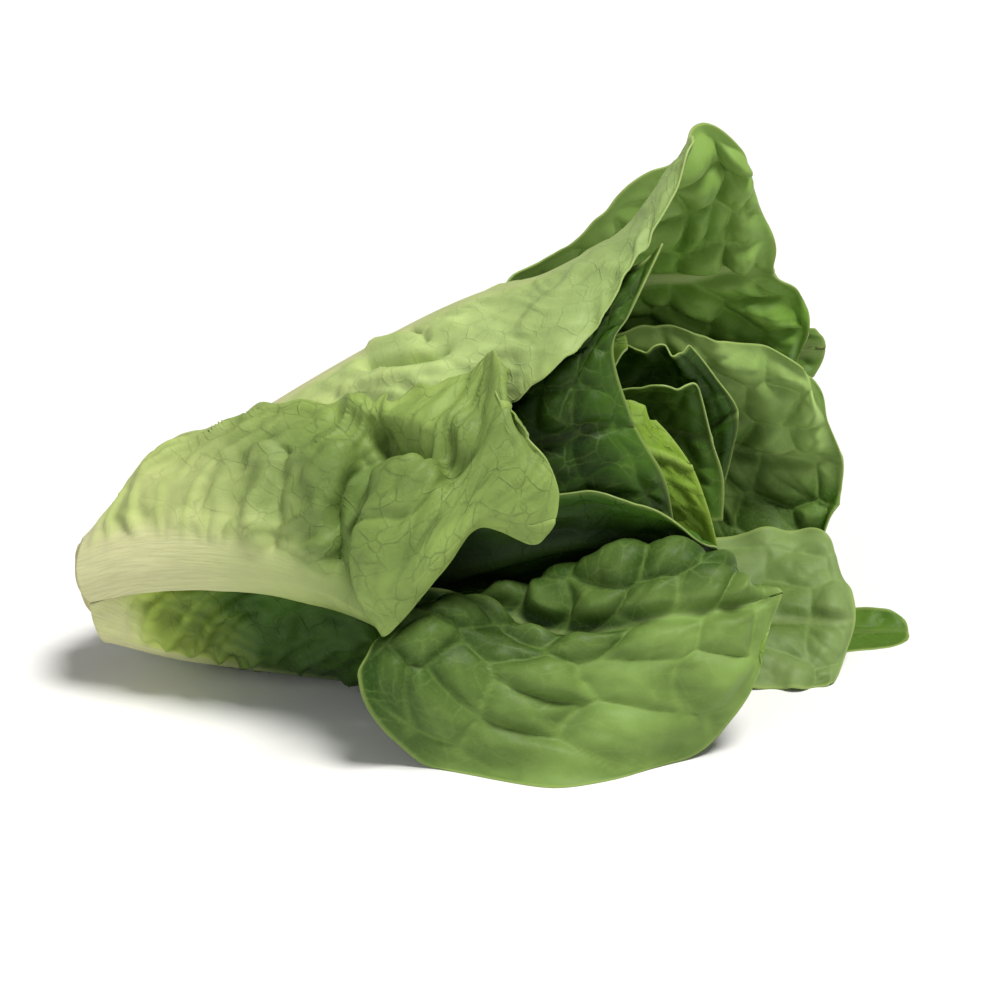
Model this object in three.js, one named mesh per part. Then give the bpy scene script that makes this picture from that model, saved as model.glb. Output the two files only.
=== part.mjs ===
// A romaine lettuce head, cut at the stem and lying on its side.
// Millimetres, +Z up. The stem's cut end points along -X and the leaves open towards +X.
// The head rests on the rib of its lowest leaf, with a spread leaf in front and leaf tips at the far end.
import * as THREE from 'three';

// Driving dimensions of the closed head, a cone that widens from the cut end to the open end
const BUTT_X = -124;
const MOUTH_X = 63;
const BUTT_RADIUS = 18;
const MOUTH_RADIUS = 80;
const SWELL = 0.8;
const BUTT_HEIGHT = 31;
const AXIS_RISE = 0.283;

// Leaf blade and the ground that the lowest leaves lie on
const BLADE = 0.8;
const GROUND_SOFTNESS = 1.2;

const degrees = (a) => (a * Math.PI) / 180;
const mix = (a, b, t) => a + (b - a) * t;
const clamp = (v, low, high) => Math.min(high, Math.max(low, v));
const smooth = (edge0, edge1, v) => {
  const t = clamp((v - edge0) / (edge1 - edge0), 0, 1);
  return t * t * (3 - 2 * t);
};

// Radius of the closed head at x, and the height of its axis there
function headRadius(x) {
  const along = Math.max(0, (x - BUTT_X) / (MOUTH_X - BUTT_X));
  return BUTT_RADIUS + (MOUTH_RADIUS - BUTT_RADIUS) * along ** SWELL;
}
const axisHeight = (x) => BUTT_HEIGHT + AXIS_RISE * (x - BUTT_X);

// A place on or in the head: x along it, the angle round it (0 faces the front, 90 is up, 180 the back)
// and the reach, as a share of the closed head's radius at x.
function place([x, angle, reach]) {
  const r = reach * headRadius(x);
  const a = degrees(angle);
  return new THREE.Vector3(x, -r * Math.cos(a), axisHeight(x) + r * Math.sin(a));
}

// A row of places round the closed head: `low` and `high` are the angles that the leaf spans
// on each side of `angle`.
function collar(x, angle, low, high, reach, columns = 5) {
  return Array.from({ length: columns }, (_, i) => {
    const share = i / (columns - 1);
    return [x, angle - low + (low + high) * share, reach];
  });
}

// Each leaf is a net of rows from base to tip; every row runs across the blade at rising angles.
const LEAVES = [
  {
    name: 'leaf_front_outer', color: 0x9dbd62, ridges: 0.7, heel: 0.9,
    ribColumn: 1, ribWidth: [13, 5], ribHeight: [3.5, 0.8], ruffle: 1.5, waves: 5,
    rows: [
      [[-123, 2, 0.91], [-126, 20, 0.92], [-127, 37, 0.92], [-127, 52, 0.91],
        [-127, 67, 0.89], [-127, 80, 0.88], [-125, 92, 0.89]],
      [[-110, 5, 0.93], [-111, 22, 0.99], [-112, 39, 1.01], [-113, 57, 1.05],
        [-114, 74, 1.1], [-114, 90, 1.13], [-114, 104, 1.12]],
      [[-98, 4, 0.91], [-98, 18, 0.98], [-98, 36, 1.02], [-99, 55, 1.08],
        [-100, 74, 1.16], [-101, 92, 1.23], [-101, 108, 1.25]],
      [[-84, 0, 0.9], [-84, 13, 0.98], [-84, 32, 1.02], [-84, 53, 1.05],
        [-85, 73, 1.08], [-86, 91, 1.11], [-86, 108, 1.1]],
      [[-67, -6, 0.91], [-67, 6, 0.99], [-66, 22, 1.03], [-66, 39, 1.05],
        [-66, 56, 1.05], [-67, 73, 1.05], [-68, 89, 1.05]],
      [[-48, -15, 0.93], [-48, -4, 1.01], [-48, 10, 1.05], [-48, 23, 1.08],
        [-47, 37, 1.09], [-46, 52, 1.04], [-46, 66, 1.0]],
      [[-35, -22, 0.97], [-36, -12, 1.04], [-38, 0, 1.01], [-38, 12, 1.02],
        [-36, 24, 0.98], [-33, 40, 0.9], [-35, 60, 0.98]],
      [[-31, -14, 1.25], [-37, 1, 1.27], [-40, 12, 1.28], [-38, 21, 1.28],
        [-31, 28, 1.19], [-27, 39, 0.94], [-28, 57, 0.99]],
      [[-25, -9, 1.24], [-26, 0, 1.27], [-26, 10, 1.29], [-24, 19, 1.28],
        [-21, 28, 1.22], [-17, 37, 0.99], [-17, 56, 1.0]],
      [[-14, 1, 1.15], [-14, 6, 1.19], [-14, 11, 1.2], [-12, 17, 1.19],
        [-10, 23, 1.13], [-7, 34, 1.03], [-6, 55, 1.02]],
      [[-3, 9, 1.02], [-2, 12, 1.06], [-1, 16, 1.07], [0, 20, 1.07],
        [2, 26, 1.06], [2, 37, 1.04], [3, 54, 1.03]],
      [[12, 0, 0.95], [12, 6, 0.97], [13, 10, 0.98], [14, 15, 0.98],
        [13, 21, 0.98], [9, 30, 1.0], [2, 42, 1.02]],
      [[17, 2, 0.92], [19, 5, 0.92], [20, 9, 0.92], [20, 13, 0.93],
        [18, 19, 0.94], [14, 25, 0.97], [7, 34, 1.0]],
    ],
  },
  {
    name: 'leaf_top_outer', color: 0x86ad58, ridges: 0.4, heel: 1.4,
    ribColumn: 3, ribWidth: [11, 2], ribHeight: [2.4, 0.4], ruffle: 1.2, waves: 6,
    rows: [
      [[-116, 70, 0.79], [-117, 84, 0.81], [-118, 98, 0.82], [-118, 112, 0.82], [-117, 126, 0.81]],
      [[-98, 54, 0.8], [-98, 78, 0.84], [-98, 100, 0.87], [-98, 114, 0.88], [-98, 136, 0.88]],
      [[-76, 48, 0.87], [-76, 72, 0.9], [-76, 94, 0.92], [-76, 112, 0.93], [-76, 142, 0.92]],
      [[-50, 51, 0.89], [-50, 71, 0.92], [-50, 88, 0.94], [-50, 108, 0.95], [-50, 140, 0.93]],
      [[-24, 52, 0.9], [-24, 68, 0.92], [-24, 84, 0.94], [-24, 104, 0.95], [-24, 134, 0.93]],
      [[2, 42, 0.9], [-3, 60, 0.92], [-6, 80, 0.94], [-8, 98, 0.94], [-9, 116, 0.92]],
      [[13, 44, 0.93], [10, 59, 0.94], [8, 77, 0.93], [6, 92, 0.92], [4, 105, 0.91]],
      [[24, 49, 0.93], [22, 61, 0.95], [20, 78, 0.92], [19, 90, 0.89], [18, 99, 0.87]],
      [[38, 63, 0.96], [40, 72, 0.97], [40, 80, 0.96], [39, 87, 0.93], [38, 92, 0.91]],
      [[47, 73, 1.0], [49, 79, 1.03], [49, 84, 1.04], [49, 88, 1.03], [48, 91, 1.01]],
      [[59, 84, 1.13], [60, 86, 1.15], [60, 87.5, 1.16], [60, 89, 1.16], [59, 91, 1.14]],
    ],
  },
  {
    name: 'leaf_under', color: 0x7fa64c, ridges: 0.7, heel: 0.6,
    ribColumn: 2, ribWidth: [12, 3], ribHeight: [3.5, 1], ruffle: 1.2, waves: 5,
    rows: [
      [[-117, -112, 0.83], [-119, -90, 0.84], [-121, -62, 0.85], [-123, -34, 0.85], [-125, -6, 0.84]],
      [[-97, -114, 0.93], [-98, -90, 0.96], [-99, -64, 0.95], [-100, -31, 0.93], [-101, 7, 0.835]],
      [[-78, -116, 1.08], [-78, -95, 1.1], [-78, -70, 0.99], [-78, -36, 0.945], [-78, 6, 0.85]],
      [[-55, -118, 1.17], [-55, -98, 1.12], [-55, -73, 1.03], [-55, -42, 0.96], [-55, -3, 0.86]],
      [[-30, -120, 1.18], [-30, -102, 1.11], [-30, -80, 1.08], [-30, -51, 0.98], [-30, -30, 0.9]],
      [[-8, -116, 1.13], [-8, -102, 1.09], [-8, -84, 1.06], [-8, -64, 1.0], [-8, -50, 0.93]],
      [[14, -110, 1.03], [14, -98, 1.03], [14, -84, 1.02], [14, -70, 1.0], [14, -58, 0.96]],
      [[30, -100, 1.02], [32, -92, 1.02], [33, -84, 1.02], [32, -76, 1.01], [30, -68, 1.0]],
    ],
  },
  {
    name: 'leaf_back_outer', color: 0x8cb25a, ridges: 0.7, heel: 1.4,
    ribColumn: 2, ribWidth: [12, 3], ribHeight: [3.5, 0.8], ruffle: 2, waves: 6,
    rows: [
      [[-122, 144, 0.83], [-124, 160, 0.84], [-124, 178, 0.84], [-124, 196, 0.84], [-122, 214, 0.83]],
      [[-99, 138, 0.97], [-100, 157, 0.97], [-100, 179, 0.95], [-99, 202, 0.94], [-98, 226, 0.92]],
      [[-78, 132, 1.03], [-78, 154, 1.0], [-78, 180, 0.97], [-78, 206, 0.96], [-78, 230, 0.94]],
      [[-50, 134, 1.04], [-50, 155, 1.0], [-50, 180, 0.97], [-50, 206, 0.95], [-50, 231, 0.94]],
      [[-20, 137, 1.02], [-20, 157, 0.98], [-20, 180, 0.97], [-20, 204, 0.96], [-20, 228, 0.94]],
      [[10, 143, 0.98], [12, 160, 0.98], [12, 180, 0.97], [12, 202, 0.97], [10, 222, 0.98]],
      [[40, 150, 0.93], [42, 164, 0.92], [42, 180, 0.92], [42, 200, 0.94], [38, 214, 1.08]],
      [[70, 168, 0.86], [70, 177, 0.87], [72, 187, 0.88], [70, 198, 0.9], [66, 206, 0.93]],
      [[94, 180, 0.85], [96, 184, 0.86], [97, 189, 0.87], [96, 194, 0.88], [92, 199, 0.88]],
      [[109, 187, 0.86], [112, 189, 0.87], [113, 192, 0.87], [112, 195, 0.87], [109, 198, 0.87]],
    ],
  },
  {
    name: 'leaf_trailing', color: 0x7da356, heel: 0.5,
    ribColumn: 2, ribWidth: [11, 2], ribHeight: [2, 0.5], ruffle: 1, waves: 5,
    rows: [
      [[-108, 214, 0.68], [-109, 232, 0.69], [-110, 249, 0.68], [-110, 266, 0.68], [-109, 284, 0.68]],
      [[-95, 206, 0.76], [-95, 228, 0.8], [-96, 249, 0.82], [-96, 270, 0.82], [-97, 290, 0.8]],
      [[-70, 208, 0.8], [-70, 228, 0.86], [-70, 250, 0.92], [-70, 270, 0.9], [-70, 288, 0.86]],
      [[-38, 212, 0.84], [-38, 230, 0.88], [-38, 250, 0.94], [-38, 268, 0.94], [-38, 284, 0.9]],
      [[-5, 217, 0.86], [-5, 234, 0.89], [-5, 251, 0.94], [-5, 266, 0.95], [-5, 281, 0.93]],
      [[30, 224, 0.95], [30, 238, 0.95], [30, 252, 0.97], [30, 264, 0.99], [30, 276, 0.98]],
      [[60, 234, 1.06], [62, 243, 1.04], [64, 254, 1.02], [64, 262, 1.03], [62, 269, 1.05]],
      [[84, 240, 1.09], [85, 246, 1.07], [86, 254, 1.06], [86, 261, 1.06], [84, 267, 1.07]],
      [[102, 246, 1.09], [102, 250, 1.08], [103, 255, 1.07], [102, 261, 1.08], [100, 266, 1.12]],
      [[119, 249, 1.08], [119, 252, 1.09], [119, 256, 1.1], [119, 260, 1.12], [117, 264, 1.14]],
      [[132, 251, 1.07], [134, 253.5, 1.08], [135, 256, 1.1], [134, 259, 1.12], [131, 262, 1.13]],
      [[137, 253.5, 1.07], [138, 255, 1.08], [138, 256, 1.09], [138, 258, 1.11], [137, 259, 1.12]],
    ],
  },
  {
    name: 'leaf_back_tall', color: 0x4f7f2c, ridges: 0.6,
    ribColumn: 2, ribWidth: [9, 2], ribHeight: [2, 0.8], ruffle: 2.5, waves: 5,
    rows: [
      [[-107, 112, 0.58], [-107, 128, 0.6], [-107, 144, 0.61], [-106, 160, 0.62], [-106, 178, 0.62]],
      [[-84, 96, 0.72], [-84, 118, 0.74], [-84, 140, 0.76], [-84, 166, 0.78], [-84, 190, 0.8]],
      [[-50, 97, 0.78], [-50, 118, 0.79], [-50, 141, 0.8], [-50, 170, 0.81], [-50, 196, 0.82]],
      [[-14, 98, 0.8], [-13, 119, 0.81], [-12, 142, 0.81], [-10, 170, 0.81], [-8, 196, 0.82]],
      [[12, 108, 0.93], [18, 121, 0.87], [25, 144, 0.82], [35, 172, 0.8], [45, 195, 0.81]],
      [[34, 104, 0.98], [40, 118, 0.9], [48, 144, 0.78], [56, 176, 0.77], [70, 196, 0.79]],
      [[52, 104, 1.06], [59, 120, 0.9], [64, 150, 0.75], [72, 176, 0.75], [84, 202, 0.78]],
      [[64, 107, 1.12], [72, 123, 0.87], [76, 152, 0.74], [86, 174, 0.74], [97, 202, 0.76]],
      [[76, 114, 1.0], [82, 133, 0.78], [86, 156, 0.71], [97, 171, 0.7], [104, 187, 0.7]],
      [[86, 131, 0.81], [92, 147, 0.7], [92, 157, 0.67], [100, 166, 0.67], [104, 175, 0.68]],
    ],
  },
  {
    name: 'leaf_front_spread', color: 0x6f9c42, ridges: 0.8,
    ribColumn: 2, ribWidth: [8, 2], ribHeight: [2, 0.8], ruffle: 1.2, waves: 5,
    rows: [
      [[-112, -48, 0.62], [-112, -32, 0.66], [-112, -14, 0.68], [-112, 4, 0.68], [-112, 22, 0.66]],
      [[-84, -46, 0.68], [-84, -30, 0.72], [-84, -15, 0.74], [-84, 4, 0.75], [-84, 24, 0.75]],
      [[-52, -46, 0.74], [-52, -32, 0.77], [-52, -18, 0.78], [-52, -4, 0.78], [-52, 10, 0.77]],
      [[-24, -40, 0.86], [-24, -34, 0.84], [-24, -28, 0.81], [-24, -22, 0.78], [-24, -16, 0.76]],
      [[-33, -17, 1.23], [-16, -15, 0.98], [0, -33, 0.78], [6, -39, 0.67], [8, -58, 0.64]],
      [[-38, -22, 1.52], [-15, -22, 1.17], [17, -37, 0.87], [21, -31, 0.64], [28, -66, 0.66]],
      [[-18, -41.5, 1.6], [3, -34, 1.28], [34, -35, 0.9], [39, -25, 0.62], [47, -70, 0.64]],
      [[21, -41.5, 1.6], [30, -41, 1.22], [49, -34, 0.87], [56, -29, 0.61], [62, -68, 0.65]],
      [[57, -52.5, 1.33], [55, -42, 1.1], [64, -36, 0.84], [68, -33, 0.67], [72, -55, 0.65]],
      [[76, -50, 1.12], [74, -44, 0.98], [76, -39, 0.8], [76, -40, 0.71], [77, -46, 0.67]],
      [[82, -46, 0.92], [84, -45, 0.83], [87, -42, 0.75], [84, -42, 0.73], [81, -43, 0.71]],
    ],
  },
  {
    name: 'leaf_back_low', color: 0x79a34f,
    ribColumn: 2, ribWidth: [9, 2], ribHeight: [2, 0.6], ruffle: 1.6, waves: 5,
    rows: [
      [[-102, 232, 0.56], [-102, 247, 0.58], [-102, 262, 0.58], [-102, 280, 0.58], [-102, 298, 0.56]],
      [[-76, 222, 0.66], [-76, 242, 0.7], [-76, 262, 0.76], [-76, 284, 0.76], [-76, 302, 0.74]],
      [[-38, 228, 0.74], [-38, 246, 0.78], [-38, 264, 0.82], [-38, 282, 0.83], [-38, 298, 0.8]],
      [[0, 234, 0.78], [3, 249, 0.82], [5, 264, 0.85], [5, 280, 0.86], [3, 294, 0.84]],
      [[42, 236, 0.82], [45, 249, 0.86], [48, 264, 0.88], [48, 276, 0.92], [46, 287, 0.96]],
      [[79, 236, 0.85], [82, 250, 0.87], [84, 264, 0.9], [84, 274, 0.97], [84, 281, 1.06]],
      [[96, 236, 0.85], [98, 250, 0.86], [100, 264, 0.92], [98, 274, 1.0], [96, 281, 1.07]],
      [[109, 239, 0.84], [110, 253, 0.86], [112, 266, 0.92], [108, 273, 1.02], [104, 279, 1.08]],
      [[116, 250, 0.88], [118, 257, 0.89], [118, 264, 0.93], [114, 270, 1.01], [109, 277, 1.07]],
    ],
  },
  {
    name: 'leaf_front_upper', color: 0x739f3c,
    ribColumn: 2, ribWidth: [7, 2], ribHeight: [1.6, 0.6], ruffle: 2, waves: 6,
    rows: [
      collar(-104, 50, 36, 38, 0.52, 6),
      [[-76, 6, 0.57], [-76, 24, 0.61], [-76, 42, 0.64], [-76, 60, 0.66], [-76, 78, 0.67], [-76, 94, 0.68]],
      [[-42, -4, 0.58], [-42, 16, 0.62], [-42, 37, 0.67], [-42, 58, 0.7], [-42, 76, 0.71], [-42, 94, 0.72]],
      [[0, -16, 0.54], [-2, 10, 0.6], [-4, 34, 0.67], [-6, 56, 0.73], [-8, 76, 0.76], [-10, 92, 0.78]],
      [[33, -32, 0.49], [25, 4, 0.55], [21, 28, 0.65], [18, 42, 0.75], [22, 57, 0.81], [29, 71, 0.83]],
      [[46, -38, 0.45], [37, 3, 0.51], [31, 30, 0.61], [26, 47, 0.76], [32, 59, 0.8], [41, 71, 0.86]],
      [[56, -44, 0.42], [52, -5, 0.4], [43, 27, 0.48], [36, 52, 0.72], [41, 62, 0.76], [51, 76, 0.88]],
    ],
  },
  {
    name: 'leaf_back_middle', color: 0x527f2e,
    ribColumn: 2, ribWidth: [8, 2], ribHeight: [2, 0.6], ruffle: 2, waves: 5,
    rows: [
      [[-104, 174, 0.52], [-104, 186, 0.52], [-104, 198, 0.52], [-103, 210, 0.51], [-103, 222, 0.5]],
      [[-80, 158, 0.62], [-80, 180, 0.64], [-80, 202, 0.64], [-80, 216, 0.61], [-80, 230, 0.57]],
      [[-45, 154, 0.66], [-45, 178, 0.69], [-45, 202, 0.7], [-45, 218, 0.69], [-45, 232, 0.66]],
      [[-5, 152, 0.66], [0, 176, 0.69], [5, 202, 0.71], [10, 216, 0.73], [15, 226, 0.76]],
      [[20, 150, 0.64], [24, 177, 0.68], [27, 200, 0.73], [34, 215, 0.83], [38, 226, 0.92]],
      [[45, 150, 0.6], [49, 178, 0.64], [50, 197, 0.74], [61, 214, 0.96], [64, 230, 1.08]],
      [[68, 164, 0.57], [76, 192, 0.65], [79, 210, 0.86], [82, 222, 1.0], [82, 234, 1.09]],
      [[86, 178, 0.56], [94, 202, 0.66], [96, 215, 0.88], [98, 225, 1.0], [98, 236, 1.06]],
      [[102, 190, 0.57], [106, 206, 0.67], [110, 218, 0.85], [111, 228, 0.95], [111, 236, 0.97]],
      [[107, 203, 0.61], [113, 213, 0.73], [118, 221, 0.82], [118, 226, 0.87], [117, 230, 0.9]],
    ],
  },
  {
    name: 'leaf_front_inner', color: 0x3f6620,
    ribColumn: 2, ribWidth: [6, 1.5], ribHeight: [1.4, 0.5], ruffle: 1, waves: 5,
    rows: [
      [[-100, -66, 0.48], [-100, -52, 0.5], [-100, -38, 0.5], [-100, -24, 0.5], [-100, -10, 0.48]],
      [[-70, -76, 0.56], [-70, -58, 0.6], [-70, -40, 0.62], [-70, -22, 0.63], [-70, -4, 0.63]],
      [[-36, -74, 0.58], [-36, -54, 0.61], [-36, -32, 0.64], [-36, -10, 0.66], [-36, 12, 0.68]],
      [[-5, -66, 0.57], [-4, -45, 0.58], [-3, -22, 0.61], [-3, -2, 0.64], [-3, 16, 0.67]],
      [[21, -62, 0.55], [21, -40, 0.55], [21, -20, 0.57], [21, -5, 0.6], [21, 7, 0.63]],
      [[36, -66, 0.54], [36, -46, 0.53], [36, -26, 0.54], [36, -10, 0.57], [36, 1, 0.6]],
      [[52, -72, 0.54], [53, -55, 0.52], [53, -38, 0.51], [52, -24, 0.53], [51, -14, 0.57]],
      [[63, -77, 0.54], [65, -66, 0.53], [66, -55, 0.52], [66, -45, 0.52], [65, -37, 0.54]],
      [[68, -77, 0.54], [70, -72, 0.53], [71, -66, 0.53], [71, -61, 0.53], [70, -57, 0.53]],
    ],
  },
  {
    name: 'leaf_heart_back', small: true, color: 0x5b8a33,
    ribColumn: 2, ribWidth: [6, 1.5], ribHeight: [1.2, 0.4], ruffle: 1.4, waves: 5,
    rows: [
      collar(-96, 206, 40, 40, 0.42),
      collar(-62, 205, 44, 42, 0.52),
      collar(-22, 202, 44, 38, 0.56),
      [[15, 152, 0.54], [15, 172, 0.55], [15, 198, 0.58], [15, 216, 0.61], [15, 230, 0.64]],
      [[47, 144, 0.46], [48, 166, 0.49], [49, 196, 0.55], [49, 217, 0.62], [49, 234, 0.7]],
      [[56, 144, 0.38], [63, 177, 0.43], [65, 204, 0.53], [66, 222, 0.64], [66, 234, 0.72]],
      [[62, 149, 0.34], [72, 183, 0.38], [80, 204, 0.46], [79, 218, 0.57], [76, 228, 0.65]],
    ],
  },
  {
    name: 'leaf_heart_front', small: true, color: 0x98bd4c,
    ribColumn: 2, ribWidth: [6, 1.5], ribHeight: [1.2, 0.4], ruffle: 1, waves: 5,
    rows: [
      collar(-94, 18, 44, 44, 0.38),
      collar(-60, 18, 50, 48, 0.44),
      collar(-26, 16, 50, 48, 0.45),
      [[10, -44, 0.44], [8, -14, 0.43], [6, 16, 0.42], [5, 42, 0.41], [5, 66, 0.41]],
      [[32, -54, 0.43], [26, -18, 0.38], [22, 20, 0.35], [22, 47, 0.34], [24, 68, 0.34]],
      [[46, -61, 0.42], [38, -20, 0.31], [34, 22, 0.28], [34, 50, 0.29], [37, 69, 0.28]],
      [[62, -70, 0.44], [55, -42, 0.28], [50, -4, 0.19], [46, 34, 0.18], [46, 68, 0.18]],
      [[71, -74, 0.5], [67, -60, 0.34], [62, -38, 0.2], [56, 0, 0.12], [51, 50, 0.1]],
    ],
  },
  {
    name: 'leaf_heart_top', small: true, color: 0x8ab046,
    ribColumn: 2, ribWidth: [6, 1.5], ribHeight: [1.2, 0.4], ruffle: 1, waves: 5,
    rows: [
      collar(-92, 84, 40, 40, 0.44),
      collar(-56, 84, 42, 44, 0.54),
      collar(-16, 84, 40, 42, 0.56),
      collar(14, 84, 34, 38, 0.5),
      collar(30, 86, 26, 30, 0.46),
      collar(42, 90, 12, 15, 0.43),
    ],
  },
  {
    name: 'leaf_heart_low', small: true, color: 0x8ab046,
    ribColumn: 2, ribWidth: [6, 1.5], ribHeight: [1.2, 0.4], ruffle: 1, waves: 5,
    rows: [
      collar(-92, 290, 40, 36, 0.34),
      collar(-56, 290, 44, 40, 0.41),
      collar(-20, 289, 42, 38, 0.42),
      collar(12, 287, 38, 32, 0.4),
      collar(34, 285, 26, 22, 0.37),
      collar(46, 284, 12, 10, 0.36),
    ],
  },
  {
    name: 'leaf_inner_curl', small: true, color: 0x5f8f36,
    ribColumn: 2, ribWidth: [5, 1.5], ribHeight: [1, 0.4], ruffle: 0.8, waves: 5,
    rows: [
      collar(-88, 190, 44, 44, 0.3),
      collar(-52, 190, 48, 46, 0.38),
      collar(-12, 188, 48, 46, 0.4),
      [[24, 120, 0.26], [24, 150, 0.28], [25, 190, 0.34], [26, 226, 0.42], [27, 250, 0.48]],
      [[50, 108, 0.2], [50, 143, 0.21], [50, 194, 0.26], [52, 231, 0.38], [56, 252, 0.52]],
      [[64, 116, 0.12], [66, 165, 0.13], [70, 224, 0.24], [74, 243, 0.37], [74, 256, 0.5]],
    ],
  },
  {
    name: 'leaf_centre_upper', small: true, color: 0xb4cd68,
    ribColumn: 2, ribWidth: [5, 1.5], ribHeight: [0.8, 0.3], ruffle: 0.8, waves: 5,
    rows: [
      collar(-82, 60, 66, 66, 0.24),
      collar(-48, 60, 72, 72, 0.28),
      collar(-14, 60, 70, 70, 0.28),
      collar(14, 60, 56, 56, 0.22),
      collar(30, 60, 30, 30, 0.18),
    ],
  },
  {
    name: 'leaf_centre_lower', small: true, color: 0xc2d67c,
    ribColumn: 2, ribWidth: [5, 1.5], ribHeight: [0.8, 0.3], ruffle: 0.8, waves: 5,
    rows: [
      collar(-74, 240, 66, 66, 0.16),
      collar(-42, 240, 72, 72, 0.18),
      collar(-12, 240, 70, 70, 0.17),
      collar(10, 240, 56, 56, 0.13),
      collar(24, 240, 30, 30, 0.1),
    ],
  },
];

// Catmull-Rom through four vectors at t, from b to c
function through(a, b, c, d, t) {
  const t2 = t * t;
  const t3 = t2 * t;
  return new THREE.Vector3()
    .addScaledVector(a, -0.5 * t3 + t2 - 0.5 * t)
    .addScaledVector(b, 1.5 * t3 - 2.5 * t2 + 1)
    .addScaledVector(c, -1.5 * t3 + 2 * t2 + 0.5 * t)
    .addScaledVector(d, 0.5 * t3 - 0.5 * t2);
}

// A point of a list of vectors at share 0..1, the ends carried on straight
function along(points, share) {
  const last = points.length - 1;
  const f = clamp(share, 0, 1) * last;
  const i = Math.min(last - 1, Math.floor(f));
  const b = points[i];
  const c = points[i + 1];
  const a = i > 0 ? points[i - 1] : b.clone().multiplyScalar(2).sub(c);
  const d = i + 2 <= last ? points[i + 2] : c.clone().multiplyScalar(2).sub(b);
  return through(a, b, c, d, f - i);
}

// The blade's middle surface: s runs from base to tip and t across, both 0..1
function bladePoint(net, s, t) {
  const row = net[0].map((_, c) => along(net.map((r) => r[c]), s));
  return along(row, t);
}

function leafGeometry(leaf, lengthSteps = 26, widthSteps = 8) {
  const net = leaf.rows.map((row) => row.map(place));
  const rib = leaf.ribColumn / (net[0].length - 1);
  const outer = [];
  const inner = [];
  for (let i = 0; i <= lengthSteps; i++) {
    const s = i / lengthSteps;
    for (let j = 0; j <= widthSteps; j++) {
      const t = j / widthSteps;
      const h = 1e-3;
      const p = bladePoint(net, s, t);
      const ds = bladePoint(net, Math.min(1, s + h), t).sub(bladePoint(net, Math.max(0, s - h), t));
      const dt = bladePoint(net, s, Math.min(1, t + h)).sub(bladePoint(net, s, Math.max(0, t - h)));
      const n = ds.cross(dt).normalize();
      const ribPoint = bladePoint(net, s, rib);
      const off = p.distanceTo(ribPoint);
      const width = mix(leaf.ribWidth[0], leaf.ribWidth[1], s);
      const swell = mix(leaf.ribHeight[0], leaf.ribHeight[1], Math.sqrt(s));
      const bulge = swell * Math.exp(-((off / width) ** 2));
      const free = smooth(0.5, 1, Math.abs(t - rib) / Math.max(rib, 1 - rib)) * smooth(0.35, 0.7, s);
      const side = t < rib ? 1.7 : 0;
      const between = smooth(width, width * 2.4, off) * (1 - free);
      const turn = 2 * Math.PI * (7 * s - 1.6 * Math.abs(t - rib));
      const ridge = (leaf.ridges ?? 0) * between * Math.cos(turn);
      p.addScaledVector(n, leaf.ruffle * free * Math.sin(2 * Math.PI * leaf.waves * s + side) + ridge);
      p.z = 0.5 * (p.z + Math.hypot(p.z, GROUND_SOFTNESS));
      const heel = (leaf.heel ?? 0) * (1 - smooth(0, 0.14, s));
      const outerPoint = p.clone().addScaledVector(n, BLADE / 2 + bulge);
      const innerPoint = p.clone().addScaledVector(n, -BLADE / 2 - heel);
      const under = Math.min(0, outerPoint.z, innerPoint.z);
      outerPoint.z -= under;
      innerPoint.z -= under;
      outer.push(outerPoint);
      inner.push(innerPoint);
    }
  }
  return shell(outer, inner, lengthSteps, widthSteps);
}

// A closed shell from two grids of points, split into triangles alike on both faces
function shell(outer, inner, rows, columns) {
  const points = [...outer, ...inner];
  const index = [];
  const at = (i, j) => i * (columns + 1) + j;
  const back = outer.length;
  const quad = (a, b, c, d) => index.push(a, b, c, a, c, d);
  for (let i = 0; i < rows; i++) {
    for (let j = 0; j < columns; j++) {
      const [a, b, c, d] = [at(i, j), at(i + 1, j), at(i + 1, j + 1), at(i, j + 1)];
      index.push(a, b, c, a, c, d);
      index.push(back + a, back + c, back + b, back + a, back + d, back + c);
    }
  }
  for (let i = 0; i < rows; i++) {
    quad(at(i + 1, 0), at(i, 0), back + at(i, 0), back + at(i + 1, 0));
    quad(at(i, columns), at(i + 1, columns), back + at(i + 1, columns), back + at(i, columns));
  }
  for (let j = 0; j < columns; j++) {
    quad(at(0, j), at(0, j + 1), back + at(0, j + 1), back + at(0, j));
    quad(at(rows, j + 1), at(rows, j), back + at(rows, j), back + at(rows, j + 1));
  }
  const geometry = new THREE.BufferGeometry();
  const places = points.flatMap((p) => p.toArray());
  geometry.setAttribute('position', new THREE.Float32BufferAttribute(places, 3));
  geometry.setIndex(index);
  geometry.computeVertexNormals();
  return geometry;
}

// The cut stem inside the leaf bases: a disc at the cut end, then a cone that runs up into the head
function stemGeometry() {
  const profile = [
    [0, -4.4], [6, -4.8], [10, -4.5], [12.2, -3.2], [12.8, -1], [12.4, 2], [11.5, 5], [10.4, 10],
    [9.6, 18], [8.2, 30], [5.8, 48], [3.4, 66], [1.5, 80], [0, 84],
  ].map(([r, height]) => new THREE.Vector2(r, height));
  const geometry = new THREE.LatheGeometry(profile, 24);
  geometry.rotateZ(Math.atan(AXIS_RISE) - Math.PI / 2);
  geometry.rotateX(Math.PI / 2);
  geometry.translate(BUTT_X, 0, BUTT_HEIGHT);
  return geometry;
}

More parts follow.
